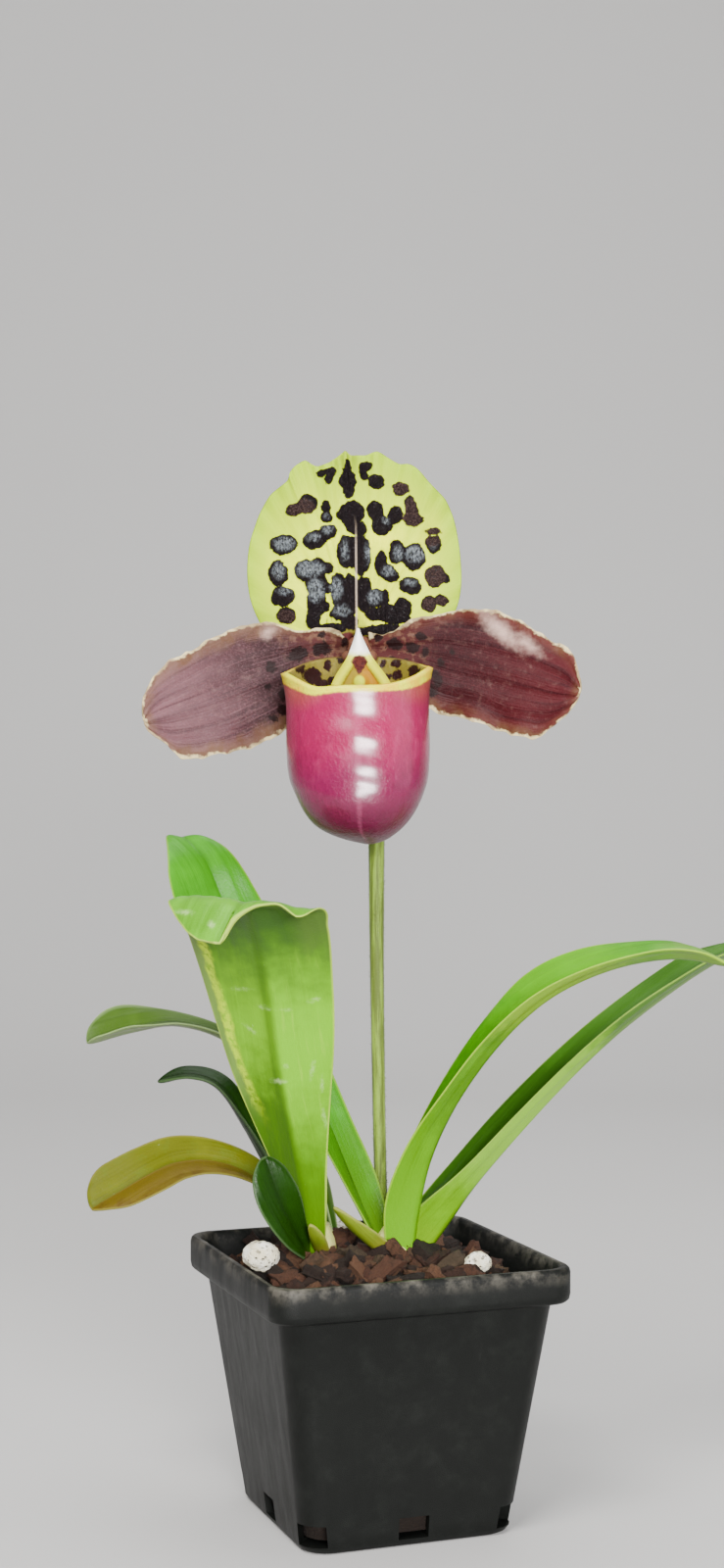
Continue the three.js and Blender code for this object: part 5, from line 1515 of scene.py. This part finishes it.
def shoot_material():
    shoot = Graph("shoots", Subsurface_Weight=0.1, Subsurface_Scale=0.001)
    broad = shoot.noise(0.4, 4.0, 0.6)
    lines = shoot.noise(1.0, pull=(2.0, 2.0, 0.2))
    _, _, z = shoot.split(shoot.place)
    shoot.colour = shoot.mix(broad.step(0.4, 0.65), (0.46, 0.52, 0.13), (0.56, 0.54, 0.20))
    shoot.paint((0.26, 0.17, 0.08), 0.8 * z.step(45.5, 42.0))
    shoot.paint((0.24, 0.22, 0.06), 0.4 * lines.step(0.55, 0.7))
    return shoot.finish(0.5, lines, 0.0004, 0.6)


# Middle, half widths, bottom and top of the foot of each growth.
GROWTHS = ((3.5, 1.0, 4.2, 5.0, 31, 48), (-8.2, 1.5, 2.8, 6.5, 32, 47))


def make_rhizome():
    levels = np.linspace(0, 1, 40)[:, None]
    share = along([0.55, 0.9, 1.0, 1.0, 0.95, 0.72, 0.3], levels)
    angle = np.linspace(0, TURN, 40, endpoint=False)
    parts = [
        closed_rings(np.stack([
            x + rx * share * np.cos(angle),
            y + ry * share * np.sin(angle),
            bottom + (top - bottom) * levels + 0 * angle,
        ], axis=-1))
        for x, y, rx, ry, bottom, top in GROWTHS
    ]
    piece = make_piece("shoots_and_rhizome", *joined(parts), shoot_material())
    stand_for(piece, "rhizome")


# ------------------------------------------------------------------ studio

FLOOR_FRONT, FLOOR_BEND, FLOOR_HALF_WIDTH = -900, 500, 1500
BEND_RADIUS = 400
WALL_TOP = 1600.0
WORLD_COLOUR = (0.75, 0.76, 0.78, 1)
WORLD_STRENGTH = 0.14


def make_floor():
    """A floor that bends up into a wall behind the plant."""
    floor = Graph("studio_floor")
    floor.colour = floor.mix(floor.noise(0.004, 2.0), (0.40, 0.395, 0.39), (0.44, 0.435, 0.43))
    bend = np.linspace(0.1, math.pi / 2, 14)
    flat = np.linspace(FLOOR_FRONT, FLOOR_BEND, 8)
    depth = [*flat, *(FLOOR_BEND + BEND_RADIUS * np.sin(bend)), FLOOR_BEND + BEND_RADIUS]
    rise = [*(0 * flat), *(BEND_RADIUS * (1 - np.cos(bend))), WALL_TOP]
    width = np.linspace(-FLOOR_HALF_WIDTH, FLOOR_HALF_WIDTH, 5)
    points = [(x, y, z) for y, z in zip(depth, rise) for x in width]
    row = len(width)
    starts = [i * row + j for i in range(len(depth) - 1) for j in range(row - 1)]
    faces = [[a, a + 1, a + 1 + row, a + row] for a in starts]
    make_piece("studio_sweep", points, faces, floor.finish(0.8))


def make_studio():
    make_floor()
    make_light("key", -28, 47, 0.9, (0.42, 0.42), 13.0, (1.0, 0.98, 0.95))
    make_light("gloss", 11, 7, 0.7, (0.40, 0.12), 14.0, (1.0, 0.99, 0.98), shape="ELLIPSE")
    make_light("fill", 78, 12, 0.9, (0.6, 0.6), 1.5, (0.95, 0.97, 1.0))
    make_light("top", 160, 70, 0.8, (0.5, 0.5), 4.0)
    make_light("backdrop", 0, 60, 1.3, (1.2, 1.2), 11.0, aim=(0, 0.75, 0.25))
    world = bpy.data.worlds.new("studio")
    world.use_nodes = True
    background = world.node_tree.nodes["Background"].inputs
    background["Color"].default_value = WORLD_COLOUR
    background["Strength"].default_value = WORLD_STRENGTH
    bpy.context.scene.world = world


make_camera()
make_studio()
make_pot()
make_mix()
make_stones()
make_rhizome()
make_leaves()
make_stalks()
make_column()
make_dorsal_sepal()
make_petals()
make_pouch()
